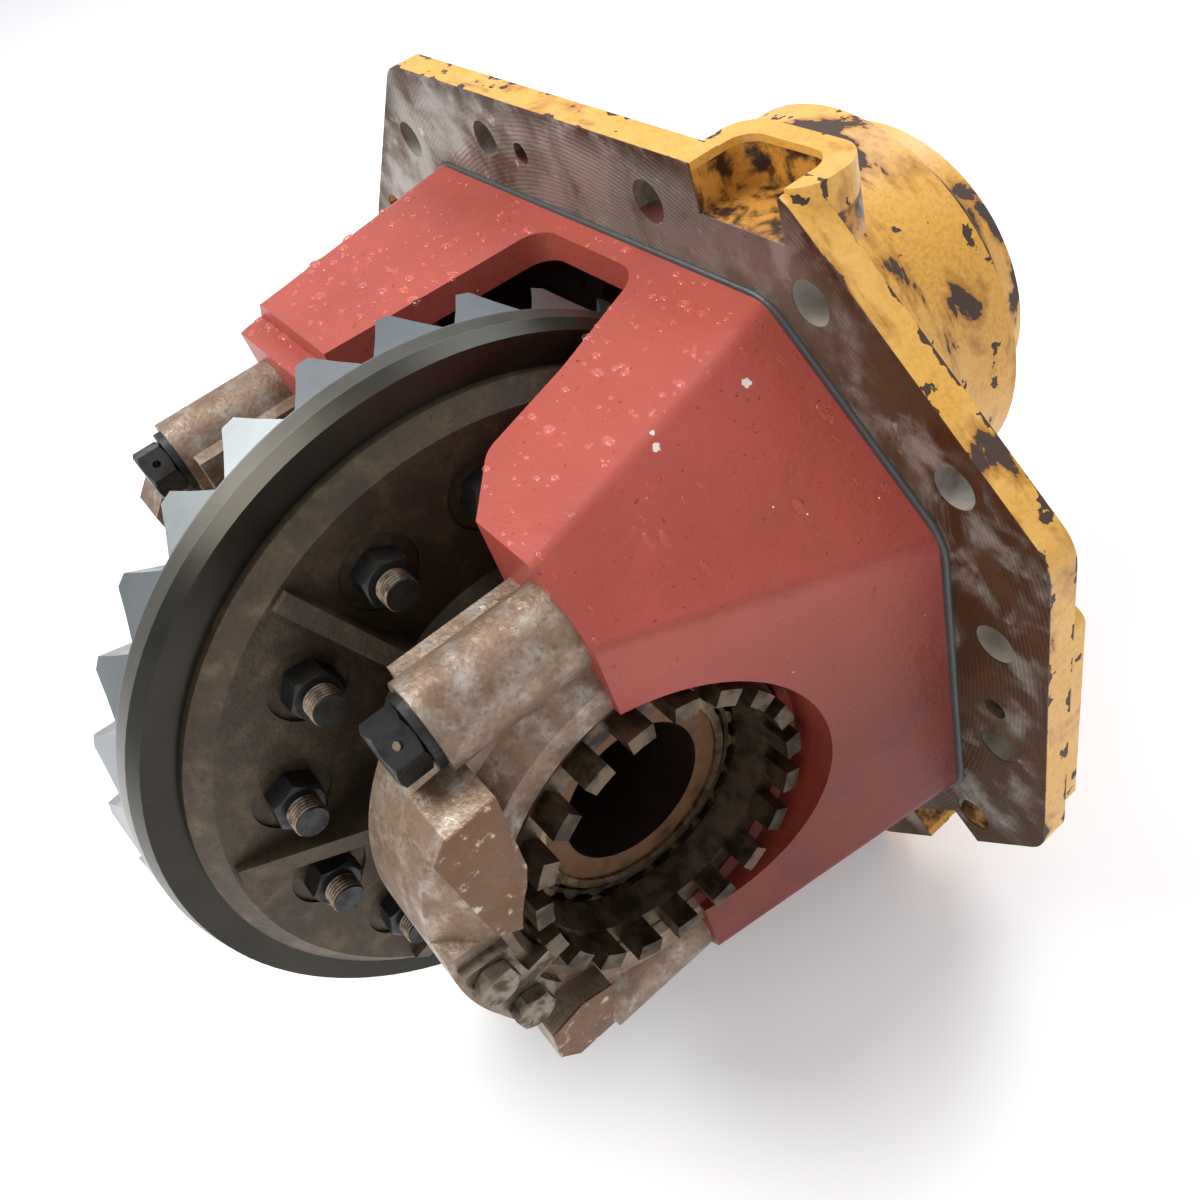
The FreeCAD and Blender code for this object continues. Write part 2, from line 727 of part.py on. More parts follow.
class TaperBearing:
    """Tapered roller bearing; its large end is at start and its rollers close up along the axis."""

    def __init__(self, axis, start, width, bore_r, cup_r, cup_width, rollers):
        self.axis = axis
        self.start = start
        self.width = width
        self.bore_r = bore_r
        self.cup_r = cup_r
        self.cup_width = cup_width
        self.rollers = rollers
        self.mid = start + width * 0.54
        section = cup_r - bore_r
        self.cup_mid_r = bore_r + section * 0.71
        self.cone_mid_r = bore_r + section * 0.25
        self.cup_angle = math.radians(15.0)
        self.apex = self.mid + self.cup_mid_r / math.tan(self.cup_angle)
        self.cone_angle = math.atan(self.cone_mid_r / (self.apex - self.mid))

    def race_r(self, a, angle):
        return (self.apex - a) * math.tan(angle)

    def cup(self):
        end = self.start + self.width
        low = end - self.cup_width
        return turned(self.axis, [
            (low, self.race_r(low, self.cup_angle)),
            (end, self.race_r(end, self.cup_angle)),
            (end, self.cup_r),
            (low, self.cup_r),
        ])

    def cone(self):
        end = self.start + self.width
        rib = 5.0
        lip = 3.0
        step = 2.2
        inner_r = self.race_r(self.start + rib, self.cone_angle)
        outer_r = self.race_r(end - lip, self.cone_angle)
        return turned(self.axis, [
            (self.start, self.bore_r),
            (end, self.bore_r),
            (end, outer_r + step * 0.6),
            (end - lip, outer_r + step * 0.6),
            (end - lip, outer_r),
            (self.start + rib, inner_r),
            (self.start + rib, inner_r + step * 1.6),
            (self.start, inner_r + step * 1.6),
        ])

    def roller_cones(self, grow, half_length):
        mean = (self.cup_angle + self.cone_angle) / 2.0
        spread = (self.cup_angle - self.cone_angle) / 2.0
        centre = (self.apex - self.mid) / math.cos(mean)
        radii = [(centre + s * half_length) * math.tan(spread) for s in (1.0, -1.0)]
        shapes = []
        for i in range(self.rollers):
            angle = 360.0 * (i + 0.5) / self.rollers
            apex = self.axis.at(self.apex, 0.0)
            away = (self.axis.at(self.apex - math.cos(mean), math.sin(mean), angle) - apex)
            big_end = apex + away * (centre + half_length)
            shapes.append(Part.makeCone(radii[0] + grow, radii[1] + grow, 2 * half_length,
                                        big_end, away * -1.0))
        return shapes

    def roller_set(self):
        return Part.makeCompound(self.roller_cones(-running_gap * 0.5, self.width * 0.33))

    def cage(self):
        mean = (self.cup_angle + self.cone_angle) / 2.0
        spread = (self.cup_angle - self.cone_angle) / 2.0
        half_length = self.width * 0.33
        reach = half_length + 3.5
        low = self.mid - reach
        high = self.mid + reach
        half = 1.3
        shell = turned(self.axis, [
            (low, self.race_r(low, mean) - half),
            (high, self.race_r(high, mean) - half),
            (high, self.race_r(high, mean) + half),
            (low, self.race_r(low, mean) + half),
        ])
        centre = (self.apex - self.mid) / math.cos(mean)
        width = 2.0 * (centre + half_length) * math.tan(spread) + running_gap
        length = 2.0 * (half_length + running_gap)
        windows = []
        for i in range(self.rollers):
            angle = 360.0 * (i + 0.5) / self.rollers
            apex = self.axis.at(self.apex, 0.0)
            away = self.axis.at(self.apex - math.cos(mean), math.sin(mean), angle) - apex
            across = (self.axis.at(0, 1.0, angle + 90.0) - self.axis.at(0, 0.0)) * (width / 2.0)
            radial = across.cross(away).normalize() * 5.0
            base = apex + away * (centre - length / 2.0)
            corners = [base - across - radial, base + across - radial,
                       base + across + radial, base - across + radial]
            windows.append(polygon_face(corners).extrude(away * length))
        return shell.cut(Part.makeCompound(windows))


def side_bearing(side):
    return TaperBearing(side_axis(side), bearing_inner_off, bearing_width, bearing_bore_r,
                        bearing_cup_r, bearing_cup_width, 24)


def head_bearing():
    return TaperBearing(pinion_axis, head_bearing_y, bearing_width, pinion_shank_r + fit_gap,
                        head_cup_r, bearing_cup_width, 16)


def tail_bearing():
    back = Axis(pinion_axis.origin, V(0, -1, 0), V(1, 0, 0))
    return TaperBearing(back, -(tail_bearing_y + bearing_width), bearing_width,
                        tail_shank_r + fit_gap, tail_cup_r, bearing_cup_width, 15)


# Crown wheel and pinion


def spiral_lead(r):
    return math.tan(math.radians(spiral_angle)) * math.log(r / ring_heel_r)


def depth_at(r):
    return tooth_depth * r / ring_heel_r


def root_x_at(r):
    return tooth_root_x - (ring_heel_r - r) * root_slope


def crown_tooth(index):
    radii = [ring_heel_r - 1.0, 0.5 * (ring_heel_r + ring_toe_r), ring_toe_r + 0.5]
    wires = []
    for r in radii:
        centre = index * ring_pitch + spiral_lead(r)
        pitch = ring_pitch * r
        out = V(0, math.cos(centre), math.sin(centre))
        across = V(0, -math.sin(centre), math.cos(centre))
        tilt = heel_tilt if r == radii[0] else 0.0
        depth = depth_at(r)
        sink = 1.2
        rows = [(-sink, root_share), (0.0, root_share), (depth * 0.5, (root_share + tip_share) / 2 - 0.02)]
        rows.append((depth, tip_share))
        left = [(h, -share * pitch / 2) for h, share in rows]
        right = [(h, share * pitch / 2) for h, share in reversed(rows)]
        points = []
        for h, s in left + right:
            place = V(root_x_at(r) - h, axis_y, 0) + out * (r + h * tilt) + across * s
            points.append(place)
        wires.append(Part.makePolygon(points + [points[0]]))
    return Part.makeLoft(wires, True, True)


def ring_gear():
    toe_x = root_x_at(ring_toe_r)
    blank = turned(axle, [
        (ring_web_x, ring_bore_r),
        (ring_back_x, ring_bore_r),
        (ring_back_x, ring_back_r),
        (ring_edge_x, ring_edge_r),
        (tooth_root_x, ring_heel_r),
        (toe_x, ring_toe_r),
        (ring_web_x, ring_toe_r - 1.0),
    ])
    body = blank.multiFuse([crown_tooth(i) for i in range(ring_teeth)])
    holes = [
        rod(axle, ring_web_x - 1.0, ring_back_x + 1.0, ring_bolt_r + 0.4,
            ring_bolt_circle_r, ring_bolt_first + 360.0 * i / ring_bolt_count)
        for i in range(ring_bolt_count)
    ]
    return body.cut(Part.makeCompound(holes))


def pinion_pitch_r(y):
    """Radius at which the pinion rolls with the crown wheel at this station along its axis."""
    slope = math.tan(math.radians(spiral_angle))
    square = y * y + pinion_offset * pinion_offset
    return pinion_teeth / ring_teeth * square / (y - pinion_offset * slope)


def pinion_phase(y):
    """Direction of a pinion tooth that follows the crown wheel's spiral at this station."""
    r = math.hypot(y, pinion_offset)
    angle = math.atan2(pinion_offset, y)
    return (angle - spiral_lead(r)) * ring_teeth / pinion_teeth + math.pi / pinion_teeth


def involute(angle):
    return math.tan(angle) - angle


def pinion_section(y, phase):
    pitch_r = pinion_pitch_r(y)
    r = math.hypot(y, pinion_offset)
    depth = depth_at(r)
    pitch = 2.0 * math.pi * pitch_r / pinion_teeth
    flank = math.atan((root_share - tip_share) / 2.0 * pitch / depth)
    above = root_x_at(r) - pitch_r
    width = pitch * (1.0 - root_share + (root_share - tip_share) * above / depth) - mesh_backlash
    base_r = pitch_r * math.cos(flank)
    tip_r = root_x_at(r) - mesh_clearance
    low_r = root_x_at(r) - depth - mesh_clearance
    half_at_pitch = width / 2.0 / pitch_r + involute(flank)
    start_r = max(base_r, low_r + 1.0)
    side = [(low_r, half_at_pitch * 0.96)]
    for i in range(flank_steps):
        at_r = start_r + (tip_r - start_r) * i / (flank_steps - 1)
        half = half_at_pitch - involute(math.acos(base_r / at_r))
        side.append((at_r, max(half, 0.04)))
    points = []
    for i in range(pinion_teeth):
        middle = phase + i * 2.0 * math.pi / pinion_teeth
        for at_r, half in side:
            points.append(pinion_axis.at(y + axis_y, at_r, math.degrees(middle - half)))
        for at_r, half in reversed(side):
            points.append(pinion_axis.at(y + axis_y, at_r, math.degrees(middle + half)))
    return Part.makePolygon(points + [points[0]])


def pinion_stations():
    start = ring_toe_r + 1.0
    end = ring_heel_r + tooth_depth * heel_tilt + 4.0
    count = 8
    return [start + (end - start) * i / (count - 1) for i in range(count)]


def drive_pinion():
    wires = [pinion_section(y, pinion_phase(y)) for y in pinion_stations()]
    head = Part.makeLoft(wires, True, True)
    heel = pinion_stations()[-1] + axis_y
    shank = turned(pinion_axis, [
        (heel - 1.0, 0.0),
        (heel - 1.0, pinion_shoulder_r),
        (head_bearing_y, pinion_shoulder_r),
        (head_bearing_y, pinion_shank_r),
        (head_bearing_y + bearing_width + 6.0, pinion_shank_r),
        (head_bearing_y + bearing_width + 12.0, tail_shank_r),
        (yoke_disc_y - 2.0, tail_shank_r),
        (yoke_disc_y - 2.0, pinion_spline_r),
        (yoke_disc_y + yoke_disc_thickness - 6.0, pinion_spline_r),
        (yoke_disc_y + yoke_disc_thickness - 6.0, pinion_thread_r),
        (pinion_end_y, pinion_thread_r),
        (pinion_end_y, 0.0),
    ])
    return head.fuse(shank)


def ring_bolts():
    bolts = []
    for i in range(ring_bolt_count):
        angle = ring_bolt_first + 360.0 * i / ring_bolt_count
        base = axle.at(ring_web_x - ring_bolt_head, ring_bolt_circle_r, angle)
        head = hexagon(base, axle.along, ring_bolt_af, ring_bolt_head, angle)
        shank = rod(axle, ring_web_x, ring_bolt_tip_x, ring_bolt_r, ring_bolt_circle_r, angle)
        bolts.append(head.fuse(shank))
    return Part.makeCompound(bolts)


def ring_nuts():
    nuts = []
    seat = case_flange_x - spotface_depth
    for i in range(ring_bolt_count):
        angle = ring_bolt_first + 360.0 * i / ring_bolt_count
        base = axle.at(seat, ring_bolt_circle_r, angle)
        nut = hexagon(base, axle.along, ring_bolt_af, ring_nut_height, angle + 12.0)
        hole = rod(axle, seat, seat + ring_nut_height, ring_bolt_r, ring_bolt_circle_r, angle)
        nuts.append(nut.cut(hole))
    return Part.makeCompound(nuts)


# Differential case


def case_cavity():
    ball = Part.makeSphere(cavity_r, axle.at(0, 0))
    floor_x = side_gear_back_x() + thrust_washer
    drum = rod(axle, -floor_x, floor_x, cavity_r - 1.0)
    return ball.common(rod(axle, -floor_x, floor_x, cavity_r)).fuse(
        rod(axle, -floor_x, floor_x, pitch_r(side_teeth) + 5.0).common(drum))


def pitch_r(teeth):
    return teeth * bevel_module / 2.0


def side_gear_back_x():
    return pitch_r(spider_teeth) + side_gear_back


def cross_arm_holes():
    arms = []
    for angle in (0.0, 90.0):
        start = axle.at(0, cross_arm_reach + 10.0, angle)
        end = axle.at(0, cross_arm_reach + 10.0, angle + 180.0)
        arms.append(Part.makeCylinder(cross_arm_r + fit_gap, 2 * cross_arm_reach + 20.0, start, end - start))
    return Part.makeCompound(arms)


def case_bolt_angles():
    return [45.0 + 90.0 * k + shift for k in range(4) for shift in (-17.0, 17.0)]


def case_flange_half():
    shoulder = side_x(near, bearing_inner_off)
    body = turned(axle, [
        (0.0, 0.0),
        (0.0, case_barrel_r),
        (case_pilot_x, case_barrel_r),
        (case_pilot_x, ring_bore_r - fit_gap),
        (ring_back_x, ring_bore_r - fit_gap),
        (ring_back_x, case_flange_r),
        (ring_back_x + 5.0, case_flange_r),
        (case_flange_x, case_flange_edge_r),
        (case_flange_x, case_hub_r + 6.0),
        (case_flange_x + 8.0, case_hub_r),
        (case_hub_end_x, case_shoulder_r + 4.0),
        (shoulder, case_shoulder_r),
        (shoulder, bearing_bore_r),
        (shoulder + trunnion_length, bearing_bore_r),
        (shoulder + trunnion_length, 0.0),
    ])
    ribs = []
    for i in range(rib_count):
        angle = rib_first + 360.0 * i / rib_count
        half = rib_thickness / 2.0
        out = axle.at(0, 1.0, angle) - axle.at(0, 0.0, angle)
        across = V(1, 0, 0).cross(out)
        corners = [
            axle.at(case_flange_x - 2.0, case_shoulder_r, angle) - across * half,
            axle.at(case_flange_x - 2.0, rib_outer_r, angle) - across * half,
            axle.at(rib_outer_x - 4.0, rib_outer_r, angle) - across * half,
            axle.at(rib_inner_x, rib_inner_r - 12.0, angle) - across * half,
            axle.at(rib_inner_x, case_shoulder_r, angle) - across * half,
        ]
        ribs.append(polygon_face(corners).extrude(across * rib_thickness))
    body = body.multiFuse(ribs)
    cutters = [case_cavity(), rod(axle, -1.0, shoulder + 80.0, case_bore_r)]
    for i in range(ring_bolt_count):
        angle = ring_bolt_first + 360.0 * i / ring_bolt_count
        cutters.append(rod(axle, ring_back_x - 1.0, case_flange_x + 1.0, ring_bolt_r + 0.4,
                           ring_bolt_circle_r, angle))
        cutters.append(rod(axle, case_flange_x - spotface_depth, case_flange_x + 14.0, spotface_r,
                           ring_bolt_circle_r, angle))
    for angle in case_bolt_angles():
        cutters.append(rod(axle, -1.0, case_bolt_reach + 2.0, case_bolt_r, case_bolt_circle_r, angle))
    body = body.cut(Part.makeCompound(cutters))
    return body.cut(cross_arm_holes())


def case_plain_half():
    shoulder = side_x(far, bearing_inner_off)
    body = turned(axle, [
        (0.0, 0.0),
        (0.0, case_barrel_r),
        (case_step_x, case_barrel_r),
        (case_step_x, 78.0),
        (shoulder + 8.0, case_shoulder_r),
        (shoulder, case_shoulder_r),
        (shoulder, bearing_bore_r),
        (shoulder - trunnion_length, bearing_bore_r),
        (shoulder - trunnion_length, 0.0),
    ])
    cutters = [case_cavity(), rod(axle, 1.0, shoulder - 80.0, case_bore_r)]
    for angle in case_bolt_angles():
        cutters.append(rod(axle, 1.0, case_step_x - 20.0, case_bolt_r + 0.4, case_bolt_circle_r, angle))
    body = body.cut(Part.makeCompound(cutters))
    return body.cut(cross_arm_holes())


def case_bolts():
    bolts = []
    for angle in case_bolt_angles():
        base = axle.at(case_step_x - case_bolt_head, case_bolt_circle_r, angle)
        head = hexagon(base, axle.along, case_bolt_af, case_bolt_head, angle)
        shank = rod(axle, case_step_x, case_bolt_reach, case_bolt_r, case_bolt_circle_r, angle)
        bolts.append(head.fuse(shank))
    return Part.makeCompound(bolts)


# Bevel gears inside the case


class BevelGear:
    """Straight bevel gear with its apex at the local origin and its axis along local Z."""

    def __init__(self, teeth, mate, thickness_share, addendum, dedendum):
        self.teeth = teeth
        self.angle = math.atan2(teeth, mate)
        self.pitch_r = pitch_r(teeth)
        self.cone = self.pitch_r / math.sin(self.angle)
        self.toe_scale = (self.cone - bevel_face) / self.cone
        self.share = thickness_share
        self.addendum = addendum * bevel_module
        self.dedendum = dedendum * bevel_module

    def height_place(self, height):
        """Axial and radial place of a height above the pitch circle, on the back cone."""
        radial = self.pitch_r + height * math.cos(self.angle)
        axial = self.cone * math.cos(self.angle) - height * math.sin(self.angle)
        return axial, radial

    def half_width(self, height):
        pitch_half = math.pi * bevel_module * self.share / 2.0
        if height > 0:
            return pitch_half - height * 0.55
        return pitch_half - height * 0.28

    def tooth(self, turn):
        heights = [-self.dedendum - 0.8, -self.dedendum, 0.0, self.addendum * 0.55, self.addendum]
        left = [(h, -self.half_width(h)) for h in heights]
        right = [(h, self.half_width(h)) for h in reversed(heights)]
        out = V(math.cos(turn), math.sin(turn), 0)
        across = V(-math.sin(turn), math.cos(turn), 0)
        heel = []
        for h, s in left + right:
            axial, radial = self.height_place(h)
            heel.append(V(0, 0, axial) + out * radial + across * s)
        toe = [p * self.toe_scale for p in heel]
        wires = [Part.makePolygon(points + [points[0]]) for points in (heel, toe)]
        return Part.makeLoft(wires, True, True)

    def body(self, bore_r, back, hub_r, hub_end):
        axial, radial = self.height_place(-self.dedendum)
        toe_axial = axial * self.toe_scale
        toe_radial = radial * self.toe_scale
        local = Axis(V(0, 0, 0), V(0, 0, 1), V(1, 0, 0))
        outline = [(toe_axial, bore_r), (toe_axial, toe_radial), (axial, radial)]
        outline += [(axial + 4.0, radial + 1.5), (back, radial - 1.0)]
        if hub_end > back:
            outline += [(back, hub_r), (hub_end, hub_r), (hub_end, bore_r)]
        else:
            outline += [(back, bore_r)]
        blank = turned(local, outline)
        pitch = 2.0 * math.pi / self.teeth
        return blank.multiFuse([self.tooth(i * pitch) for i in range(self.teeth)])


def set_on_axle(shape, side):
    """Local Z goes along the axle, to the near or the far side of the apex."""
    shape.rotate(V(0, 0, 0), V(0, 1, 0), 90.0 * side)
    shape.translate(axle.at(0, 0))
    return shape


def side_gear(side):
    gear = BevelGear(side_teeth, spider_teeth, 0.42, 0.75, 1.05)
    body = gear.body(side_gear_bore_r, side_gear_back_x(), side_gear_hub_r - fit_gap, side_gear_hub_end)
    body.rotate(V(0, 0, 0), V(0, 0, 1), 180.0 / side_teeth)
    return set_on_axle(body, side)


def spider_pinion(angle):
    gear = BevelGear(spider_teeth, side_teeth, 0.47, 0.85, 0.95)
    ball_r = cavity_r - spider_washer - fit_gap
    body = gear.body(cross_arm_r + fit_gap, ball_r, 0.0, 0.0)
    body = body.common(Part.makeSphere(ball_r, V(0, 0, 0)))
    body.rotate(V(0, 0, 0), V(1, 0, 0), -90.0 + angle)
    body.translate(axle.at(0, 0))
    return body


def spider_washers():
    parts = []
    for angle in (0.0, 90.0, 180.0, 270.0):
        outer = Part.makeSphere(cavity_r - 2.0 * fit_gap, V(0, 0, 0))
        shell = outer.cut(Part.makeSphere(cavity_r - spider_washer, V(0, 0, 0)))
        column = Part.makeCylinder(26.0, cavity_r + 5.0).cut(
            Part.makeCylinder(cross_arm_r + fit_gap, cavity_r + 5.0))
        disc = shell.common(column)
        disc.rotate(V(0, 0, 0), V(1, 0, 0), -90.0 + angle)
        disc.translate(axle.at(0, 0))
        parts.append(disc)
    return Part.makeCompound(parts)


def side_washers():
    start = side_gear_back_x()
    rings = []
    for side in (near, far):
        span = sorted((side * start, side * (start + thrust_washer)))
        rings.append(ring(axle, span[0], span[1], side_gear_hub_r + 0.5, pitch_r(side_teeth) - 6.0))
    return Part.makeCompound(rings)


def cross_shaft():
    body = Part.makeSphere(cross_boss_r, axle.at(0, 0))
    for angle in (0.0, 90.0):
        start = axle.at(0, cross_arm_reach, angle)
        end = axle.at(0, cross_arm_reach, angle + 180.0)
        body = body.fuse(Part.makeCylinder(cross_arm_r, 2 * cross_arm_reach, start, end - start))
    return body


# Pinion cage and companion flange


def pinion_cage():
    start = head_bearing_y + bearing_width - bearing_cup_width - 2.0
    head_seat = head_bearing_y + bearing_width
    tail_seat = tail_bearing_y
    tail_open = tail_bearing_y + bearing_cup_width
    flange_start = nose_end_y + cage_shim
    flange_end = flange_start + cage_flange_thickness
    body = turned(pinion_axis, [
        (start, head_cup_r + fit_gap),
        (head_seat, head_cup_r + fit_gap),
        (head_seat, cage_bore_r),
        (tail_seat, cage_bore_r),
        (tail_seat, tail_cup_r + fit_gap),
        (tail_open + 2.0, tail_cup_r + fit_gap),
        (flange_end - seal_width - 1.0, seal_outer_r + 2.0),
        (flange_end - seal_width - 1.0, seal_outer_r + fit_gap),
        (flange_end, seal_outer_r + fit_gap),
        (flange_end, cage_flange_r - 3.0),
        (flange_end - 3.0, cage_flange_r),
        (flange_start, cage_flange_r),
        (flange_start, cage_pilot_r - fit_gap),
        (start, cage_pilot_r - fit_gap),
    ])
    holes = [rod(pinion_axis, flange_start - 1.0, flange_end + 1.0, cage_bolt_r + 0.5,
                 cage_bolt_circle_r, angle) for angle in cage_bolt_places()]
    holes += [rod(pinion_axis, flange_end - cage_sink_depth, flange_end + 1.0, cage_sink_r,
                  cage_bolt_circle_r, angle) for angle in cage_bolt_places()]
    return body.cut(Part.makeCompound(holes))


def cage_shims():
    body = ring(pinion_axis, nose_end_y, nose_end_y + cage_shim, cage_pilot_r, cage_flange_r)
    holes = [rod(pinion_axis, nose_end_y - 1.0, nose_end_y + cage_shim + 1.0, cage_bolt_r + 0.5,
                 cage_bolt_circle_r, angle) for angle in cage_bolt_places()]
    return body.cut(Part.makeCompound(holes))


def cage_bolts():
    seat = nose_end_y + cage_shim + cage_flange_thickness - cage_sink_depth
    bolts = []
    for angle in cage_bolt_places():
        base = pinion_axis.at(seat, cage_bolt_circle_r, angle)
        head = hexagon(base, pinion_axis.along, cage_bolt_af, cage_bolt_head, angle)
        shank = rod(pinion_axis, seat, nose_end_y - cage_bolt_reach, cage_bolt_r, cage_bolt_circle_r, angle)
        bolts.append(head.fuse(shank))
    return Part.makeCompound(bolts)


def pinion_seal():
    end = nose_end_y + cage_shim + cage_flange_thickness
    return ring(pinion_axis, end - seal_width, end, seal_inner_r + fit_gap, seal_outer_r)


def pinion_spacer():
    start = head_bearing_y + bearing_width
    return ring(pinion_axis, start, tail_bearing_y, pinion_shank_r + 1.0, pinion_shank_r + 7.0)


def companion_flange():
    hub_start = tail_bearing_y + bearing_width
    disc_end = yoke_disc_y + yoke_disc_thickness
    body = turned(pinion_axis, [
        (hub_start, tail_shank_r + fit_gap),
        (disc_end - 6.0, tail_shank_r + fit_gap),
        (disc_end - 6.0, yoke_recess_r),
        (disc_end + 3.0, yoke_recess_r),
        (disc_end + 3.0, yoke_pilot_r),
        (disc_end, yoke_pilot_r),
        (disc_end, yoke_disc_r - 1.5),
        (disc_end - 1.5, yoke_disc_r),
        (yoke_disc_y, yoke_disc_r),
        (yoke_disc_y, yoke_hub_r + 6.0),
        (yoke_disc_y - 4.0, yoke_hub_r),
        (hub_start, yoke_hub_r),
    ])
    holes = [rod(pinion_axis, yoke_disc_y - 1.0, disc_end + 4.0, yoke_bolt_hole_r, yoke_bolt_circle_r,
                 360.0 * i / yoke_bolt_count) for i in range(yoke_bolt_count)]
    return body.cut(Part.makeCompound(holes))


def pinion_washer():
    start = yoke_disc_y + yoke_disc_thickness - 6.0
    return ring(pinion_axis, start, start + 5.0, pinion_thread_r, pinion_washer_r)


def pinion_nut():
    start = yoke_disc_y + yoke_disc_thickness - 1.0
    nut = hexagon(pinion_axis.at(start, 0), pinion_axis.along, pinion_nut_af, pinion_nut_height)
    hole = rod(pinion_axis, start, start + pinion_nut_height, pinion_thread_r)
    return nut.cut(hole)


def build():
    near_bearing = side_bearing(near)
    far_bearing = side_bearing(far)
    head = head_bearing()
    tail = tail_bearing()
    parts = {
        "carrier_housing": carrier_housing(),
        "near_bearing_cap": bearing_cap(near),
        "far_bearing_cap": bearing_cap(far),
        "bearing_cap_bolts": cap_bolts(),
        "bearing_cap_washers": cap_washers(),
        "bearing_cap_dowels": cap_dowels(),
        "near_adjuster": adjuster(near),
        "far_adjuster": adjuster(far),
        "near_lock_plate": lock_plate(near),
        "far_lock_plate": lock_plate(far),
        "lock_plate_bolts": lock_bolts(),
        "ring_gear": ring_gear(),
        "ring_gear_bolts": ring_bolts(),
        "ring_gear_nuts": ring_nuts(),
        "case_flange_half": case_flange_half(),
        "case_plain_half": case_plain_half(),
        "case_half_bolts": case_bolts(),
        "cross_shaft": cross_shaft(),
        "side_gear_washers": side_washers(),
        "spider_pinion_washers": spider_washers(),
        "near_side_gear": side_gear(near),
        "far_side_gear": side_gear(far),
        "drive_pinion": drive_pinion(),
        "pinion_spacer": pinion_spacer(),
        "companion_flange": companion_flange(),
        "pinion_washer": pinion_washer(),
        "pinion_nut": pinion_nut(),
        "pinion_cage": pinion_cage(),
        "pinion_cage_shims": cage_shims(),
        "pinion_cage_bolts": cage_bolts(),
        "pinion_seal": pinion_seal(),
    }
    for i, angle in enumerate((0.0, 90.0, 180.0, 270.0)):
        parts["spider_pinion_%d" % (i + 1)] = spider_pinion(angle)
    for name, bearing in (("near_bearing", near_bearing), ("far_bearing", far_bearing),
                          ("pinion_head_bearing", head), ("pinion_tail_bearing", tail)):
        parts[name + "_cup"] = bearing.cup()
        parts[name + "_cone"] = bearing.cone()
        parts[name + "_rollers"] = bearing.roller_set()
        parts[name + "_cage"] = bearing.cage()
    return parts


def main():
    os.makedirs("parts", exist_ok=True)
    for name, shape in build().items():
        shape.exportStep("parts/%s.step" % name)
        print(name, "valid", shape.isValid(), "solids", len(shape.Solids), "volume", round(shape.Volume))


main()
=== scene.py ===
import math
import random

import bpy
from bpy.props import FloatProperty, FloatVectorProperty, IntProperty, PointerProperty
from bpy.types import Operator, Panel, PropertyGroup
from mathutils import Matrix, Vector


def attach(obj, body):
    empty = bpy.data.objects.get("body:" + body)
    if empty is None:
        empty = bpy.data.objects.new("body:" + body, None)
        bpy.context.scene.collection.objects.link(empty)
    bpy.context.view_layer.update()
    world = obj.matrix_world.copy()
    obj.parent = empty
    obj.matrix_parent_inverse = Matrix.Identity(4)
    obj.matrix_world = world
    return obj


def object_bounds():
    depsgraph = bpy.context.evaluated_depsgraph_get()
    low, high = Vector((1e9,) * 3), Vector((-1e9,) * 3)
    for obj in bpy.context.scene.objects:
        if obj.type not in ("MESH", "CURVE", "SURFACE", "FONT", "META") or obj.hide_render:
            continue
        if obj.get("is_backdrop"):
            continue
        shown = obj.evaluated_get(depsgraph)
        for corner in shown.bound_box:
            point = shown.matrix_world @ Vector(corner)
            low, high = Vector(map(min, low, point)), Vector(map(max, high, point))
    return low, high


bl_info = {
    "name": "Wheel loader differential",
    "version": (1, 0, 0),
    "blender": (4, 5, 0),
    "location": "View3D > Sidebar > Differential",
    "description": "Dresses the carrier, gears, bearings and fasteners of a drive axle differential",
    "category": "Object",
}

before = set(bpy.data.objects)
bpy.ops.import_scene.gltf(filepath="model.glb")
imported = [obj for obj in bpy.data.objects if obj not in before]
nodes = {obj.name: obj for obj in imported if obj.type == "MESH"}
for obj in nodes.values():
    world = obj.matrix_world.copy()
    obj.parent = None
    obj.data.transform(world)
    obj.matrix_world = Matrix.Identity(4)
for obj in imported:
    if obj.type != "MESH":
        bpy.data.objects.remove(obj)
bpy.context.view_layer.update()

MM = 0.001
AXLE = Vector((0.0, -0.156, 0.0))
PINION = Vector((0.0, 0.0, 0.028))

# the flange is an octagon about the Y axis; its slanted sides are where x and z add up to FLANGE_SLANT
FLANGE_HALF_WIDTH = 0.294
FLANGE_HALF_HEIGHT = 0.238
FLANGE_SLANT = 0.402
FLANGE_THICK = 0.0169
FLANGE_MIDDLE = 0.0085
FACE_CLEAR = 0.0006

# the nose's hollow has the radius MOUTH + SLOPE * y + CURVE * y * y, and never less than NOSE_END
NOSE_MOUTH, NOSE_SLOPE, NOSE_CURVE, NOSE_END = 0.188, 0.025, -6.875, 0.092

# case and crown wheel, along the axle axis and round it
TRUNNION_FACE, TRUNNION_RADIUS, TRUNNION_BORE = 0.1095, 0.0526, 0.0403
TOOTH_BACK, WHEEL_RIM_BACK = 0.0487, 0.0584

# the raised blocks' outer faces lie this far from the middle of the two bearing caps
CAPS_MIDDLE, BLOCK_FACE = 0.0295, 0.1772

# spots on the casting in millimetres: the middles of its pockets, and flakes of pale paint with their radii
POCKETS = ((137.0, 20.0, 226.0), (221.0, 20.0, -165.0))
PAINT_FLAKES = (((162.4, -31.9, 166.4), 2.3), ((162.1, -82.6, 166.4), 2.0), ((158.0, -80.0, 170.5), 1.2))

# corners in X and Z, in millimetres, of the casting's root on the mounting face
ROOT_CORNERS = ((145, 184), (238, 91), (238, -100), (154, -184), (-139, -184), (-238, -85), (-238, 85),
                (-139, 184))

# crown wheel studs: how many, their circle's radius, the first one's angle, and where the threads start
STUD_COUNT, STUD_CIRCLE, STUD_FIRST, STUD_START = 14, 137.5 * MM, 105.8, 94.6 * MM


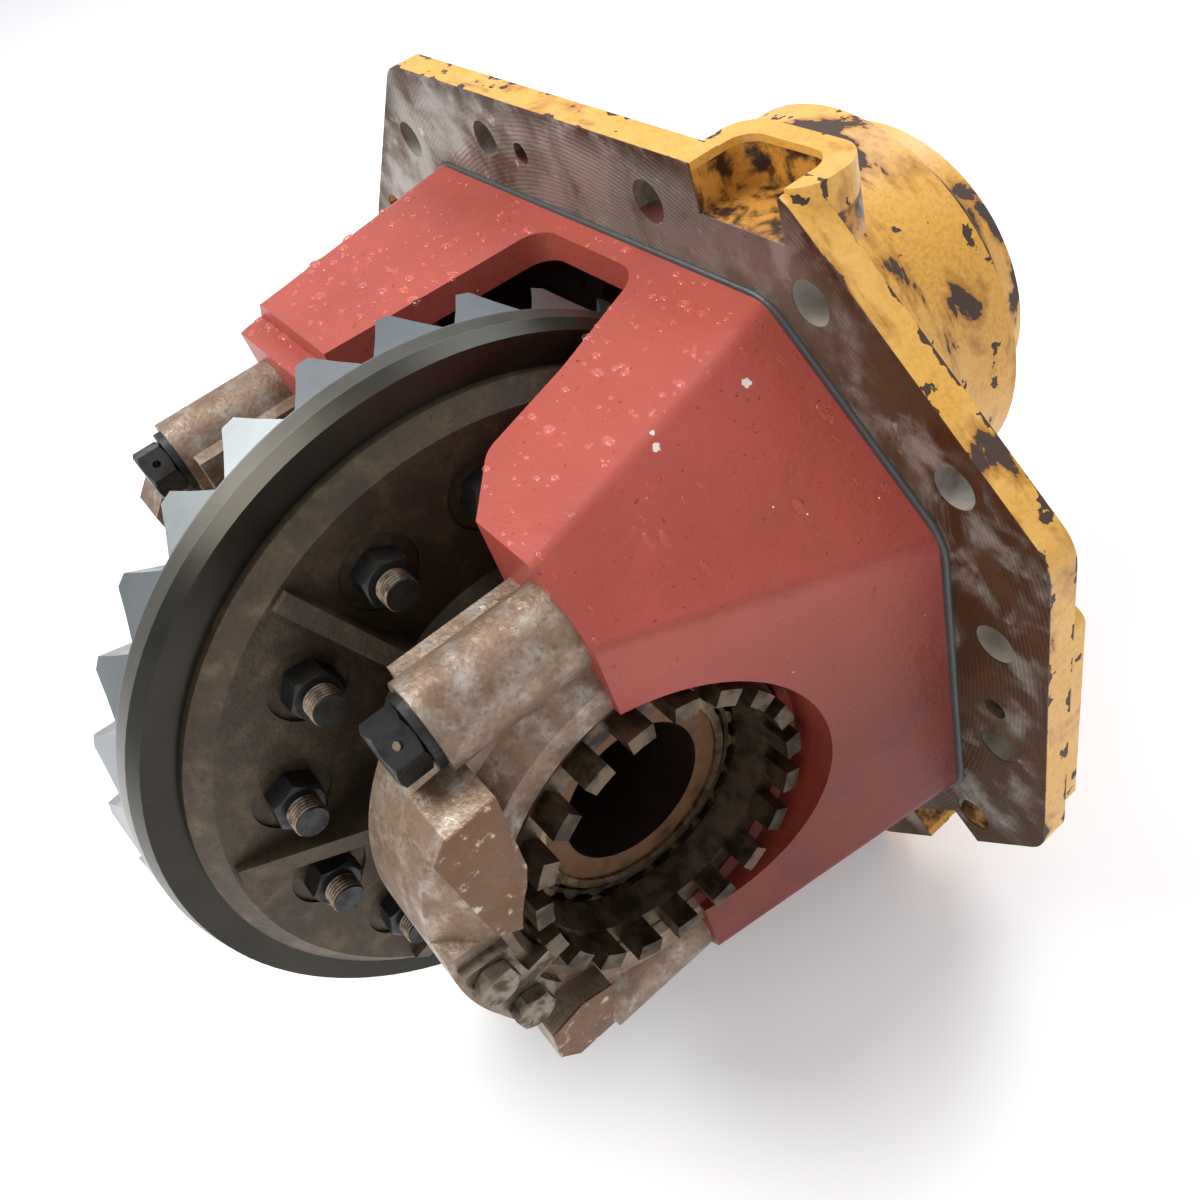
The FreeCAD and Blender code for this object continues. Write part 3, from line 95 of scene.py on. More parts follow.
def linear(code):
    """Turns an sRGB hex colour into the linear colour that the shaders take."""
    values = [int(code[i:i + 2], 16) / 255.0 for i in (1, 3, 5)]
    return [v / 12.92 if v <= 0.04045 else ((v + 0.055) / 1.055) ** 2.4 for v in values] + [1.0]


def colour_prop(name, code, words):
    return FloatVectorProperty(name=name, description=words, default=linear(code), size=4,
                               subtype="COLOR", min=0.0, max=1.0)


class CarrierColours(PropertyGroup):
    primer: colour_prop("Primer", "#ac5043", "Red oxide primer on the casting")
    primer_dull: colour_prop("Dull primer", "#98463c", "Thin or dirty primer")
    primer_inside: colour_prop("Primer inside", "#5b2c22", "Oily primer in the hollows of the casting")
    enamel: colour_prop("Enamel", "#dda648", "Yellow machine enamel on the nose and flange edge")
    enamel_stained: colour_prop("Stained enamel", "#a9742c", "Enamel stained by rust round its chips")
    bare_face: colour_prop("Bare face", "#969087", "Milled cast iron of the mounting face")
    face_rust: colour_prop("Face rust", "#5a4130", "Rust and old oil on the mounting face")
    chip: colour_prop("Chip", "#4a3a31", "Bare iron where the enamel has chipped")
    sealant: colour_prop("Sealant", "#3a4144", "Cured gasket silicone")
    flake: colour_prop("Paint flake", "#dcd4cb", "Specks of pale paint on the primer")


class CastColours(PropertyGroup):
    case_cast: colour_prop("Case", "#4f4435", "Oily cast iron of the differential case")
    case_dark: colour_prop("Case hollows", "#35291e", "Old oil in the hollows of the case")
    case_rust: colour_prop("Trunnion rust", "#6a4527", "Rust on the trunnion's end face")
    case_bore: colour_prop("Trunnion bore", "#2c1c12", "Old oil in the trunnion's bore")
    cap_cast: colour_prop("Cap", "#94806c", "Unpainted cast iron of the bearing caps")
    cap_rust: colour_prop("Cap rust", "#664a34", "Light rust on the bearing caps")
    # painted sheen: pale patches on the bearing caps that stand for light glancing off the metal
    cap_painted_sheen: colour_prop("Cap sheen", "#c2bbb0", "Cap metal rubbed clean")


class SteelColours(PropertyGroup):
    gear: colour_prop("Gear", "#3b3932", "Case hardened gear steel under a film of oil")
    gear_rim: colour_prop("Gear rim", "#6b6a63", "Turned rim of the crown wheel")
    gear_bright: colour_prop("Tooth flank", "#81878a", "Lapped tooth flanks")
    fastener: colour_prop("Fastener", "#3f4041", "Black oxide on bolts and nuts")
    zinc: colour_prop("Zinc", "#83786a", "Dulled zinc plate")
    adjuster: colour_prop("Adjuster", "#5f4f3d", "Oily machined steel")
    race: colour_prop("Race", "#8b7a62", "Ground bearing steel with a varnish of old oil")
    shaft: colour_prop("Shaft", "#8a8a8a", "Ground shaft steel")
    bronze: colour_prop("Bronze", "#a5783c", "Thrust washers")


class DetailSizes(PropertyGroup):
    bead_width: FloatProperty(name="Bead width", description="Width of the squeezed out sealant",
                              default=4.0 * MM, min=0.001, unit="LENGTH")
    bead_height: FloatProperty(name="Bead height", description="Height of the sealant bead",
                               default=2.2 * MM, min=0.0005, unit="LENGTH")
    thread_pitch: FloatProperty(name="Thread pitch", description="Pitch of the crown wheel studs",
                                default=2.0 * MM, min=0.0005, unit="LENGTH")
    drop_count: IntProperty(name="Water drops", description="How many drops lie on the painted casting",
                            default=520, min=0)
    drop_radius: FloatProperty(name="Drop radius", description="Radius of a middling water drop",
                               default=1.7 * MM, min=0.0002, unit="LENGTH")
    floor_gap: FloatProperty(name="Floor gap", description="Space between the lowest point and the floor",
                             default=1.0 * MM, min=0.0, unit="LENGTH")


# Materials


def add(tree, kind, inputs=None, **settings):
    """Adds one shader node, sets its settings, and fills or links its inputs."""
    node = tree.nodes.new(kind)
    for name, value in settings.items():
        setattr(node, name, value)
    for key, value in (inputs or {}).items():
        if isinstance(value, bpy.types.NodeSocket):
            tree.links.new(value, node.inputs[key])
        else:
            node.inputs[key].default_value = value
    return node


def new_material(name):
    """An empty material with its shader, and the place of each point on the piece in metres."""
    material = bpy.data.materials.new(name)
    material.use_nodes = True
    tree = material.node_tree
    tree.nodes.clear()
    shader = add(tree, "ShaderNodeBsdfPrincipled")
    add(tree, "ShaderNodeOutputMaterial", {"Surface": shader.outputs[0]})
    place = add(tree, "ShaderNodeTexCoord").outputs["Object"]
    material.diffuse_color = (0.5, 0.5, 0.5, 1.0)
    return material, tree, shader, place


def finished(material, shader, links):
    """Links what varies over the surface to the shader, and hands the material back."""
    for key, value in links.items():
        material.node_tree.links.new(value, shader.inputs[key])
    return material


def patches(tree, place, size_mm, cover, softness=0.06, detail=6.0, warp=0.0, vector=None):
    """Mask of irregular patches about size_mm across; cover is the share of the surface they take."""
    noise = add(tree, "ShaderNodeTexNoise",
                {"Vector": vector or place, "Scale": 1000.0 / size_mm, "Detail": detail,
                 "Roughness": 0.62, "Distortion": warp})
    middle = 0.5 + (0.5 - cover) * 0.5
    return add(tree, "ShaderNodeMapRange",
               {"Value": noise.outputs["Fac"], "From Min": middle - softness,
                "From Max": middle + softness}, interpolation_type="SMOOTHSTEP").outputs["Result"]


def grain(tree, place, size_mm, height_mm, under=None, strength=1.0, detail=3.0):
    """Bump of an even grain such as cast skin, size_mm across and height_mm deep."""
    noise = add(tree, "ShaderNodeTexNoise",
                {"Vector": place, "Scale": 1000.0 / size_mm, "Detail": detail, "Roughness": 0.55})
    inputs = {"Height": noise.outputs["Fac"], "Distance": height_mm * MM, "Strength": strength}
    if under is not None:
        inputs["Normal"] = under
    return add(tree, "ShaderNodeBump", inputs).outputs["Normal"]


def coats(tree, colour, *layers):
    """Lays coats over a colour one by one. Each is a mask, a colour and, if it is thin, how much it hides."""
    for mask, over, *hides in layers:
        if hides:
            mask = add(tree, "ShaderNodeMath", {0: mask, 1: hides[0]}, operation="MULTIPLY").outputs[0]
        colour = add(tree, "ShaderNodeMix", {0: mask, 6: colour, 7: over}, data_type="RGBA").outputs[2]
    return colour


def round_the_axle(tree, place, centre):
    """Place along the axle, distance from its axis and angle round it, for turned faces."""
    local = add(tree, "ShaderNodeVectorMath", {0: place, 1: tuple(centre)}, operation="SUBTRACT").outputs[0]
    split = add(tree, "ShaderNodeSeparateXYZ", {0: local})
    square = add(tree, "ShaderNodeVectorMath", {0: local, 1: (0.0, 1.0, 1.0)},
                 operation="MULTIPLY").outputs[0]
    radius = add(tree, "ShaderNodeVectorMath", {0: square}, operation="LENGTH").outputs["Value"]
    angle = add(tree, "ShaderNodeMath", {0: split.outputs[2], 1: split.outputs[1]}, operation="ARCTAN2")
    return split.outputs[0], radius, angle.outputs[0]


def turning_marks(tree, place, centre, pitch_mm, depth_mm):
    """Fine concentric marks left by a lathe."""
    along, radius, angle = round_the_axle(tree, place, centre)
    slow = add(tree, "ShaderNodeMath", {0: angle, 1: 0.004}, operation="MULTIPLY").outputs[0]
    spot = add(tree, "ShaderNodeCombineXYZ", {0: radius, 1: slow, 2: along}).outputs[0]
    noise = add(tree, "ShaderNodeTexNoise",
                {"Vector": spot, "Scale": 1000.0 / pitch_mm, "Detail": 2.0, "Roughness": 0.5})
    return add(tree, "ShaderNodeBump", {"Height": noise.outputs["Fac"], "Distance": depth_mm * MM,
                                        "Strength": 0.6}).outputs["Normal"]


def near_spot(tree, place, centre_mm, radius_mm, ragged_mm=0.0):
    """Mask of what lies within a radius of one point of the object, with a ragged rim."""
    centre = tuple(v * MM for v in centre_mm)
    apart = add(tree, "ShaderNodeVectorMath", {0: place, 1: centre}, operation="DISTANCE").outputs["Value"]
    wander = add(tree, "ShaderNodeTexNoise",
                 {"Vector": place, "Scale": 900.0 / radius_mm, "Detail": 3.0}).outputs["Fac"]
    apart = add(tree, "ShaderNodeMath", {0: wander, 1: ragged_mm * MM, 2: apart},
                operation="MULTIPLY_ADD").outputs[0]
    rim = (radius_mm + ragged_mm / 2.0) * MM
    return add(tree, "ShaderNodeMapRange",
               {"Value": apart, "From Min": rim, "From Max": rim * 0.95}).outputs[0]


def worn_enamel(tree, place, c, size_mm, cover):
    """Colour of old enamel and the mask of its chips. Rust creeps from each chip under the enamel."""
    along_nose = add(tree, "ShaderNodeVectorMath", {0: place, 1: (1.0, 1.9, 1.0)},
                     operation="MULTIPLY").outputs[0]
    chips = patches(tree, place, size_mm, cover, 0.008, 5.0, 0.35, along_nose)
    creep = patches(tree, place, size_mm, cover + 0.08, 0.06, 5.0, 0.35, along_nose)
    dust = patches(tree, place, 2.4, 0.42, 0.14, 3.0)
    faded = patches(tree, place, 75.0, 0.42, 0.2, 6.0)
    colour = coats(tree, c.enamel, (dust, linear("#c9943f")), (faded, linear("#e3b565")),
                   (creep, c.enamel_stained), (chips, c.chip))
    return colour, chips


def past_flange_rim(tree, split):
    """Distance out from the octagonal rim of the flange, less than 0 inside it."""
    wide = add(tree, "ShaderNodeMath", {0: split[0]}, operation="ABSOLUTE").outputs[0]
    high = add(tree, "ShaderNodeMath", {0: split[2]}, operation="ABSOLUTE").outputs[0]
    past_side = add(tree, "ShaderNodeMath", {0: wide, 1: FLANGE_HALF_WIDTH}, operation="SUBTRACT").outputs[0]
    past_top = add(tree, "ShaderNodeMath", {0: high, 1: FLANGE_HALF_HEIGHT}, operation="SUBTRACT").outputs[0]
    both = add(tree, "ShaderNodeMath", {0: wide, 1: high}, operation="ADD").outputs[0]
    slope = math.sqrt(0.5)
    past_slant = add(tree, "ShaderNodeMath", {0: both, 1: slope, 2: -FLANGE_SLANT * slope},
                     operation="MULTIPLY_ADD").outputs[0]
    rim = add(tree, "ShaderNodeMath", {0: past_side, 1: past_top}, operation="MAXIMUM").outputs[0]
    return add(tree, "ShaderNodeMath", {0: rim, 1: past_slant}, operation="MAXIMUM").outputs[0]


def inside_nose(tree, place, depth):
    """Mask of the surfaces inside the nose, whose hollow is a bell that narrows to the pinion's cage."""
    flat = add(tree, "ShaderNodeVectorMath", {0: place, 1: (0.0, 0.0, PINION.z)},
               operation="SUBTRACT").outputs[0]
    flat = add(tree, "ShaderNodeVectorMath", {0: flat, 1: (1.0, 0.0, 1.0)}, operation="MULTIPLY").outputs[0]
    radius = add(tree, "ShaderNodeVectorMath", {0: flat}, operation="LENGTH").outputs["Value"]
    taper = add(tree, "ShaderNodeMath", {0: depth, 1: NOSE_CURVE, 2: NOSE_SLOPE},
                operation="MULTIPLY_ADD").outputs[0]
    wall = add(tree, "ShaderNodeMath", {0: taper, 1: depth, 2: NOSE_MOUTH},
               operation="MULTIPLY_ADD").outputs[0]
    wall = add(tree, "ShaderNodeMath", {0: wall, 1: NOSE_END}, operation="MAXIMUM").outputs[0]
    return add(tree, "ShaderNodeMath", {0: radius, 1: wall}, operation="LESS_THAN").outputs[0]


def primer_colour(tree, place, split, oil, c):
    """Red primer with pale flakes of paint, and painted shade that darkens it towards the bottom of the
    casting, a little more where oil patches lie.
    """
    cells = add(tree, "ShaderNodeTexVoronoi", {"Vector": place, "Scale": 1000.0 / 11.0}).outputs
    tiny = add(tree, "ShaderNodeMath", {0: cells["Distance"], 1: 0.042}, operation="LESS_THAN").outputs[0]
    few = add(tree, "ShaderNodeMath", {0: cells["Color"], 1: 0.72}, operation="GREATER_THAN").outputs[0]
    speck = add(tree, "ShaderNodeMath", {0: tiny, 1: few}, operation="MULTIPLY").outputs[0]
    for spot, size in PAINT_FLAKES:
        flake = near_spot(tree, place, spot, size, size * 2.5)
        speck = add(tree, "ShaderNodeMath", {0: speck, 1: flake}, operation="MAXIMUM").outputs[0]
    # painted shade: the primer darkens to a deep red-brown towards the bottom of the casting, a little more
    # where oil patches lie
    low = add(tree, "ShaderNodeMapRange", {"Value": split[2], "From Min": 0.1, "From Max": -0.01}).outputs[0]
    film = add(tree, "ShaderNodeMapRange", {"Value": oil, "To Min": 0.78, "To Max": 1.0}).outputs[0]
    stain = add(tree, "ShaderNodeMath", {0: film, 1: low}, operation="MULTIPLY").outputs[0]
    return coats(tree, c.primer, (patches(tree, place, 110.0, 0.4, 0.25), c.primer_dull),
                 (patches(tree, place, 3.4, 0.1, 0.02, 2.0), linear("#7d3a30")), (speck, c.flake),
                 (stain, linear("#5f1f10")))


def milled_face_colour(tree, place, split, rim, rust, c):
    """Bare milled iron and the cutter's arcs on it. It is rustier along the rim, and darker brown in patches
    towards the right.
    """
    arcs = add(tree, "ShaderNodeTexWave",
               {"Vector": place, "Scale": 128.0, "Distortion": 1.6, "Detail": 1.0, "Detail Scale": 1.2},
               wave_type="RINGS", rings_direction="SPHERICAL").outputs["Fac"]
    cut = add(tree, "ShaderNodeMath", {0: arcs, 1: patches(tree, place, 90.0, 0.5, 0.1)},
              operation="MULTIPLY").outputs[0]
    brim = add(tree, "ShaderNodeMapRange", {"Value": rim, "From Min": -0.016, "From Max": -0.002}).outputs[0]
    brim = add(tree, "ShaderNodeMath", {0: brim, 1: patches(tree, place, 16.0, 0.6, 0.12, 6.0)},
               operation="MULTIPLY").outputs[0]
    # the face turns darker brown in patches towards the right
    darker_right = add(tree, "ShaderNodeMapRange", {"Value": split[0], "From Min": 0.06, "From Max": 0.24}).outputs[0]
    darker_right = add(tree, "ShaderNodeMath", {0: darker_right, 1: patches(tree, place, 30.0, 0.62, 0.1, 8.0, 0.4)},
              operation="MULTIPLY").outputs[0]
    face = coats(tree, c.bare_face, (rust, c.face_rust), (cut, linear("#4c4138"), 0.38),
                 (patches(tree, place, 13.0, 0.2, 0.06, 8.0), linear("#b9b3aa")),
                 (patches(tree, place, 5.0, 0.14, 0.05, 5.0), linear("#3f2c1e")),
                 (brim, linear("#463324")), (darker_right, linear("#4a2f18")))
    return face, arcs


def edge_chips(tree, place, depth, in_plate):
    """Mask of the chips along both corners of the flange's edge, where the enamel was knocked off."""
    off_middle = add(tree, "ShaderNodeMath", {0: depth, 1: FLANGE_MIDDLE}, operation="SUBTRACT").outputs[0]
    off_middle = add(tree, "ShaderNodeMath", {0: off_middle}, operation="ABSOLUTE").outputs[0]
    corner = add(tree, "ShaderNodeMapRange", {"Value": off_middle, "From Min": 0.0045, "From Max": 0.0086,
                                              "To Max": 0.11}).outputs[0]
    corner = add(tree, "ShaderNodeMath", {0: corner, 1: in_plate}, operation="MULTIPLY").outputs[0]
    flaw = add(tree, "ShaderNodeTexNoise", {"Vector": place, "Scale": 70.0, "Detail": 6.0}).outputs["Fac"]
    flaw = add(tree, "ShaderNodeMath", {0: flaw, 1: corner}, operation="ADD").outputs[0]
    return add(tree, "ShaderNodeMath", {0: flaw, 1: 0.65}, operation="GREATER_THAN").outputs[0]


def carrier_material(c):
    """Sand cast iron. Red oxide primer, sprayed thin and dull, covers the front of the flange, so the
    casting's skin shows through it. The milled face is bare, with the arcs of the cutter and rust. The
    back and the edges have old yellow machine enamel, glossier and chipped to dark iron."""
    material, tree, shader, place = new_material("cast_iron_primed_and_enamelled")
    split = add(tree, "ShaderNodeSeparateXYZ", {0: place}).outputs
    depth = split[1]
    behind = add(tree, "ShaderNodeMath", {0: depth, 1: FACE_CLEAR}, operation="GREATER_THAN").outputs[0]
    ahead = add(tree, "ShaderNodeMath", {0: depth, 1: -FACE_CLEAR}, operation="LESS_THAN").outputs[0]
    in_plate = add(tree, "ShaderNodeMath", {0: depth, 1: FLANGE_THICK}, operation="LESS_THAN").outputs[0]
    rim = past_flange_rim(tree, split)
    inside = inside_nose(tree, place, depth)
    oil = patches(tree, place, 60.0, 0.3, 0.12, warp=0.4)
    rust = patches(tree, place, 46.0, 0.42, 0.12, 8.0, 0.3)
    primer = primer_colour(tree, place, split, oil, c)
    face, arcs = milled_face_colour(tree, place, split, rim, rust, c)

    enamel, chips = worn_enamel(tree, place, c, 72.0, 0.27)
    knocked = edge_chips(tree, place, depth, in_plate)
    chips = add(tree, "ShaderNodeMath", {0: chips, 1: knocked}, operation="MAXIMUM").outputs[0]
    upper, lower = (near_spot(tree, place, spot, 44.0) for spot in POCKETS)
    pockets = add(tree, "ShaderNodeMath", {0: upper, 1: lower}, operation="MAXIMUM").outputs[0]
    sunk = add(tree, "ShaderNodeMath", {0: rim, 1: -0.004}, operation="LESS_THAN").outputs[0]
    sunk = add(tree, "ShaderNodeMath", {0: sunk, 1: pockets}, operation="MULTIPLY").outputs[0]
    grime = add(tree, "ShaderNodeMath", {0: sunk, 1: patches(tree, place, 12.0, 0.5, 0.1, 7.0)},
                operation="MULTIPLY").outputs[0]
    drilled = add(tree, "ShaderNodeMath", {0: rim, 1: -0.012}, operation="LESS_THAN").outputs[0]
    drilled = add(tree, "ShaderNodeMath", {0: drilled, 1: in_plate}, operation="MULTIPLY").outputs[0]
    drilled = add(tree, "ShaderNodeMath", {0: drilled, 1: pockets}, operation="SUBTRACT",
                  use_clamp=True).outputs[0]
    hole_wall = coats(tree, linear("#8a857a"), (rust, linear("#40342a")))
    hollow_wall = coats(tree, c.primer_inside, (oil, linear("#3a1d17")))
    back = coats(tree, enamel, (knocked, c.chip), (sunk, linear("#b5762a"), 0.6), (grime, linear("#33221a")),
                 (drilled, hole_wall), (inside, hollow_wall))
    colour = coats(tree, face, (behind, back), (ahead, primer))

    bare = add(tree, "ShaderNodeMath", {0: chips, 1: drilled}, operation="MAXIMUM").outputs[0]
    back_rough = add(tree, "ShaderNodeMapRange", {"Value": bare, "To Min": 0.36, "To Max": 0.68}).outputs[0]
    face_rough = add(tree, "ShaderNodeMapRange", {"Value": rust, "To Min": 0.4, "To Max": 0.68}).outputs[0]
    front_rough = add(tree, "ShaderNodeMapRange", {"Value": oil, "To Min": 0.42, "To Max": 0.3}).outputs[0]
    rough = add(tree, "ShaderNodeMix", {0: behind, 2: face_rough, 3: back_rough},
                data_type="FLOAT").outputs[0]
    rough = add(tree, "ShaderNodeMix", {0: ahead, 2: rough, 3: front_rough}, data_type="FLOAT").outputs[0]
    metal = add(tree, "ShaderNodeMapRange", {"Value": rust, "To Min": 0.5, "To Max": 0.1}).outputs[0]
    metal = add(tree, "ShaderNodeMix", {0: behind, 2: metal, 3: 0.0}, data_type="FLOAT").outputs[0]
    metal = add(tree, "ShaderNodeMix", {0: ahead, 2: metal, 3: 0.0}, data_type="FLOAT").outputs[0]
    lumps = grain(tree, place, 24.0, 0.9)
    skin = grain(tree, place, 2.3, 0.24, lumps, 0.9)
    chip_step = add(tree, "ShaderNodeBump", {"Height": bare, "Distance": 0.35 * MM, "Normal": skin},
                    invert=True).outputs["Normal"]
    milled = add(tree, "ShaderNodeBump", {"Height": arcs, "Distance": 0.16 * MM,
                                          "Strength": 0.6}).outputs["Normal"]
    on_face = add(tree, "ShaderNodeMix", {0: behind, 4: milled, 5: chip_step}, data_type="VECTOR").outputs[1]
    normal = add(tree, "ShaderNodeMix", {0: ahead, 4: on_face, 5: skin}, data_type="VECTOR").outputs[1]
    shader.inputs["Specular IOR Level"].default_value = 0.3
    return finished(material, shader, {"Base Color": colour, "Roughness": rough, "Metallic": metal,
                                       "Normal": normal})


def cast_material(name, base, second, third, rough, skin_mm, skin_depth, ends=None, proud=None):
    """Sand cast iron, unpainted: a grainy skin with rust or old oil in broad patches. The grain is
    coarser than real moulding sand, so that it shows. ends are the colours of the trunnions' end faces
    and bores, proud those of the raised blocks' outer faces."""
    material, tree, shader, place = new_material(name)
    broad = patches(tree, place, 42.0, 0.5, 0.2, 8.0, 0.3)
    fine = patches(tree, place, 14.0, 0.3, 0.16, 7.0)
    pits = patches(tree, place, 2.6, 0.3, 0.1, 4.0)
    # on the bearing caps the third colour's small patches are a painted sheen, standing for light glancing
    # off the metal
    colour = coats(tree, base, (broad, second), (fine, third, 0.7), (pits, second, 0.5))
    if ends:
        along, radius, angle = round_the_axle(tree, place, AXLE)
        reach = add(tree, "ShaderNodeMath", {0: along}, operation="ABSOLUTE").outputs[0]
        face = add(tree, "ShaderNodeMath", {0: reach, 1: TRUNNION_FACE}, operation="GREATER_THAN").outputs[0]
        hub = add(tree, "ShaderNodeMath", {0: radius, 1: TRUNNION_RADIUS}, operation="LESS_THAN").outputs[0]
        face = add(tree, "ShaderNodeMath", {0: face, 1: hub}, operation="MULTIPLY").outputs[0]
        bore = add(tree, "ShaderNodeMath", {0: radius, 1: TRUNNION_BORE}, operation="LESS_THAN").outputs[0]
        colour = coats(tree, colour, (face, coats(tree, ends[0], (fine, second))), (bore, ends[1]))
    if proud:
        split = add(tree, "ShaderNodeSeparateXYZ", {0: place}).outputs
        off = add(tree, "ShaderNodeMath", {0: split[0], 1: CAPS_MIDDLE}, operation="SUBTRACT").outputs[0]
        off = add(tree, "ShaderNodeMath", {0: off}, operation="ABSOLUTE").outputs[0]
        face = add(tree, "ShaderNodeMath", {0: off, 1: BLOCK_FACE}, operation="GREATER_THAN").outputs[0]
        scab = coats(tree, second, (patches(tree, place, 9.0, 0.5, 0.1, 7.0), proud[0]),
                     (patches(tree, place, 11.0, 0.25, 0.05, 8.0), proud[1]))
        colour = coats(tree, colour, (face, scab))
    lumps = grain(tree, place, 15.0, 0.6)
    skin = grain(tree, place, skin_mm, skin_depth, lumps, 0.8)
    metal = add(tree, "ShaderNodeMapRange", {"Value": broad, "To Min": 0.6, "To Max": 0.25}).outputs[0]
    roughness = add(tree, "ShaderNodeMapRange",
                    {"Value": fine, "To Min": rough[0], "To Max": rough[1]}).outputs[0]
    return finished(material, shader, {"Base Color": colour, "Roughness": roughness, "Metallic": metal,
                                       "Normal": skin})


def gear_material(c):
    """Carburised gear steel: the turned back is dark under an oil film, the rim is lighter, and the
    lapped teeth, which the light catches, are a cool grey with stains where drops dried."""
    material, tree, shader, place = new_material("case_hardened_gear_steel")
    along, radius, angle = round_the_axle(tree, place, AXLE)
    teeth = add(tree, "ShaderNodeMath", {0: along, 1: TOOTH_BACK}, operation="LESS_THAN").outputs[0]
    rim = add(tree, "ShaderNodeMath", {0: along, 1: WHEEL_RIM_BACK}, operation="LESS_THAN").outputs[0]
    oil = patches(tree, place, 90.0, 0.5, 0.25, 4.0)
    stain = patches(tree, place, 6.0, 0.07, 0.03, 4.0)
    dark = coats(tree, c.gear, (oil, linear("#2d2b25")))
    edge = coats(tree, c.gear_rim, (oil, linear("#57564e")))
    light = coats(tree, c.gear_bright, (patches(tree, place, 50.0, 0.4, 0.25, 5.0), linear("#747b7d")))
    colour = coats(tree, dark, (rim, edge), (teeth, light), (stain, linear("#4f3d2c")))
    rough = add(tree, "ShaderNodeMapRange", {"Value": oil, "To Min": 0.4, "To Max": 0.3}).outputs[0]
    marks = turning_marks(tree, place, AXLE, 0.9, 0.05)
    soft = grain(tree, place, 9.0, 0.1, marks, 0.4)
    shader.inputs["Metallic"].default_value = 0.8
    return finished(material, shader, {"Base Color": colour, "Roughness": rough, "Normal": soft})


def steel_material(name, base, stain, metallic, rough, stain_size, cover, marks_mm, marks_depth, centre=AXLE):
    """Turned or forged steel: stains of oil and rust over fine concentric marks."""
    material, tree, shader, place = new_material(name)
    broad = patches(tree, place, stain_size, cover, 0.12, 8.0, 0.2)
    colour = coats(tree, base, (broad, stain))
    roughness = add(tree, "ShaderNodeMapRange",
                    {"Value": broad, "To Min": rough[0], "To Max": rough[1]}).outputs[0]
    marks = turning_marks(tree, place, centre, marks_mm, marks_depth)
    worn = grain(tree, place, 3.0, 0.08, marks, 0.6)
    shader.inputs["Metallic"].default_value = metallic
    return finished(material, shader, {"Base Color": colour, "Roughness": roughness, "Normal": worn})


def enamel_material(c):
    """Yellow machine enamel over cast iron, as on the carrier's nose."""
    material, tree, shader, place = new_material("yellow_machine_enamel")
    colour, chips = worn_enamel(tree, place, c, 60.0, 0.32)
    rough = add(tree, "ShaderNodeMapRange", {"Value": chips, "To Min": 0.36, "To Max": 0.7}).outputs[0]
    skin = grain(tree, place, 3.0, 0.15)
    step = add(tree, "ShaderNodeBump", {"Height": chips, "Distance": 0.35 * MM, "Normal": skin},
               invert=True).outputs["Normal"]
    return finished(material, shader, {"Base Color": colour, "Roughness": rough, "Normal": step})


def rubber_material(name, base, rough):
    """Cured silicone or nitrile rubber: dark, with a faint sheen and finger marks."""
    material, tree, shader, place = new_material(name)
    colour = coats(tree, base, (patches(tree, place, 15.0, 0.4, 0.15), linear("#3f3a33")))
    shader.inputs["Roughness"].default_value = rough
    return finished(material, shader, {"Base Color": colour, "Normal": grain(tree, place, 6.0, 0.4)})


def water_material():
    """Clear rain water in beads. It reads as a small bright lens on the paint."""
    material, tree, shader, place = new_material("rain_water")
    shader.inputs["Base Color"].default_value = linear("#f4f6f6")
    shader.inputs["Roughness"].default_value = 0.02
    shader.inputs["IOR"].default_value = 1.33
    shader.inputs["Transmission Weight"].default_value = 1.0
    return finished(material, shader, {"Normal": grain(tree, place, 4.0, 0.05)})


def dress(material, *names):
    """Gives CAD pieces their material."""
    for name in names:
        slots = nodes[name].data.materials
        slots.clear()
        slots.append(material)


def finish_piece(obj, body):
    """Puts the place into the mesh and fastens the piece to its body."""
    bpy.ops.object.select_all(action="DESELECT")
    obj.select_set(True)
    bpy.context.view_layer.objects.active = obj
    bpy.ops.object.transform_apply(location=True, rotation=True, scale=True)
    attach(obj, body)


class DIFF_OT_carrier_finish(Operator):
    """Primes, mills and enamels the carrier casting"""
    bl_idname = "differential.carrier_finish"
    bl_label = "Carrier finish"

    def execute(self, context):
        colours = context.scene.diff_carrier
        dress(carrier_material(colours), "carrier_housing")
        dress(enamel_material(colours), "pinion_cage")
        dress(rubber_material("nitrile_rubber", linear("#1c1b1a"), 0.5), "pinion_seal")
        return {"FINISHED"}


class DIFF_OT_casting_finish(Operator):
    """Gives the case and the bearing caps their bare cast iron"""
    bl_idname = "differential.casting_finish"
    bl_label = "Bare castings"

    def execute(self, context):
        c = context.scene.diff_cast
        case = cast_material("oily_cast_iron", c.case_cast, c.case_dark, linear("#64563f"), (0.5, 0.38),
                             1.9, 0.28, ends=(c.case_rust, c.case_bore))
        # the caps' third colour is a painted sheen, pale patches that stand for light off the metal
        caps = cast_material("rusty_cast_iron", c.cap_cast, c.cap_rust, c.cap_painted_sheen, (0.5, 0.33),
                             2.4, 0.55, proud=(linear("#6f4e34"), linear("#c0b5a3")))
        dress(case, "case_flange_half", "case_plain_half")
        dress(caps, "near_bearing_cap", "far_bearing_cap")
        return {"FINISHED"}


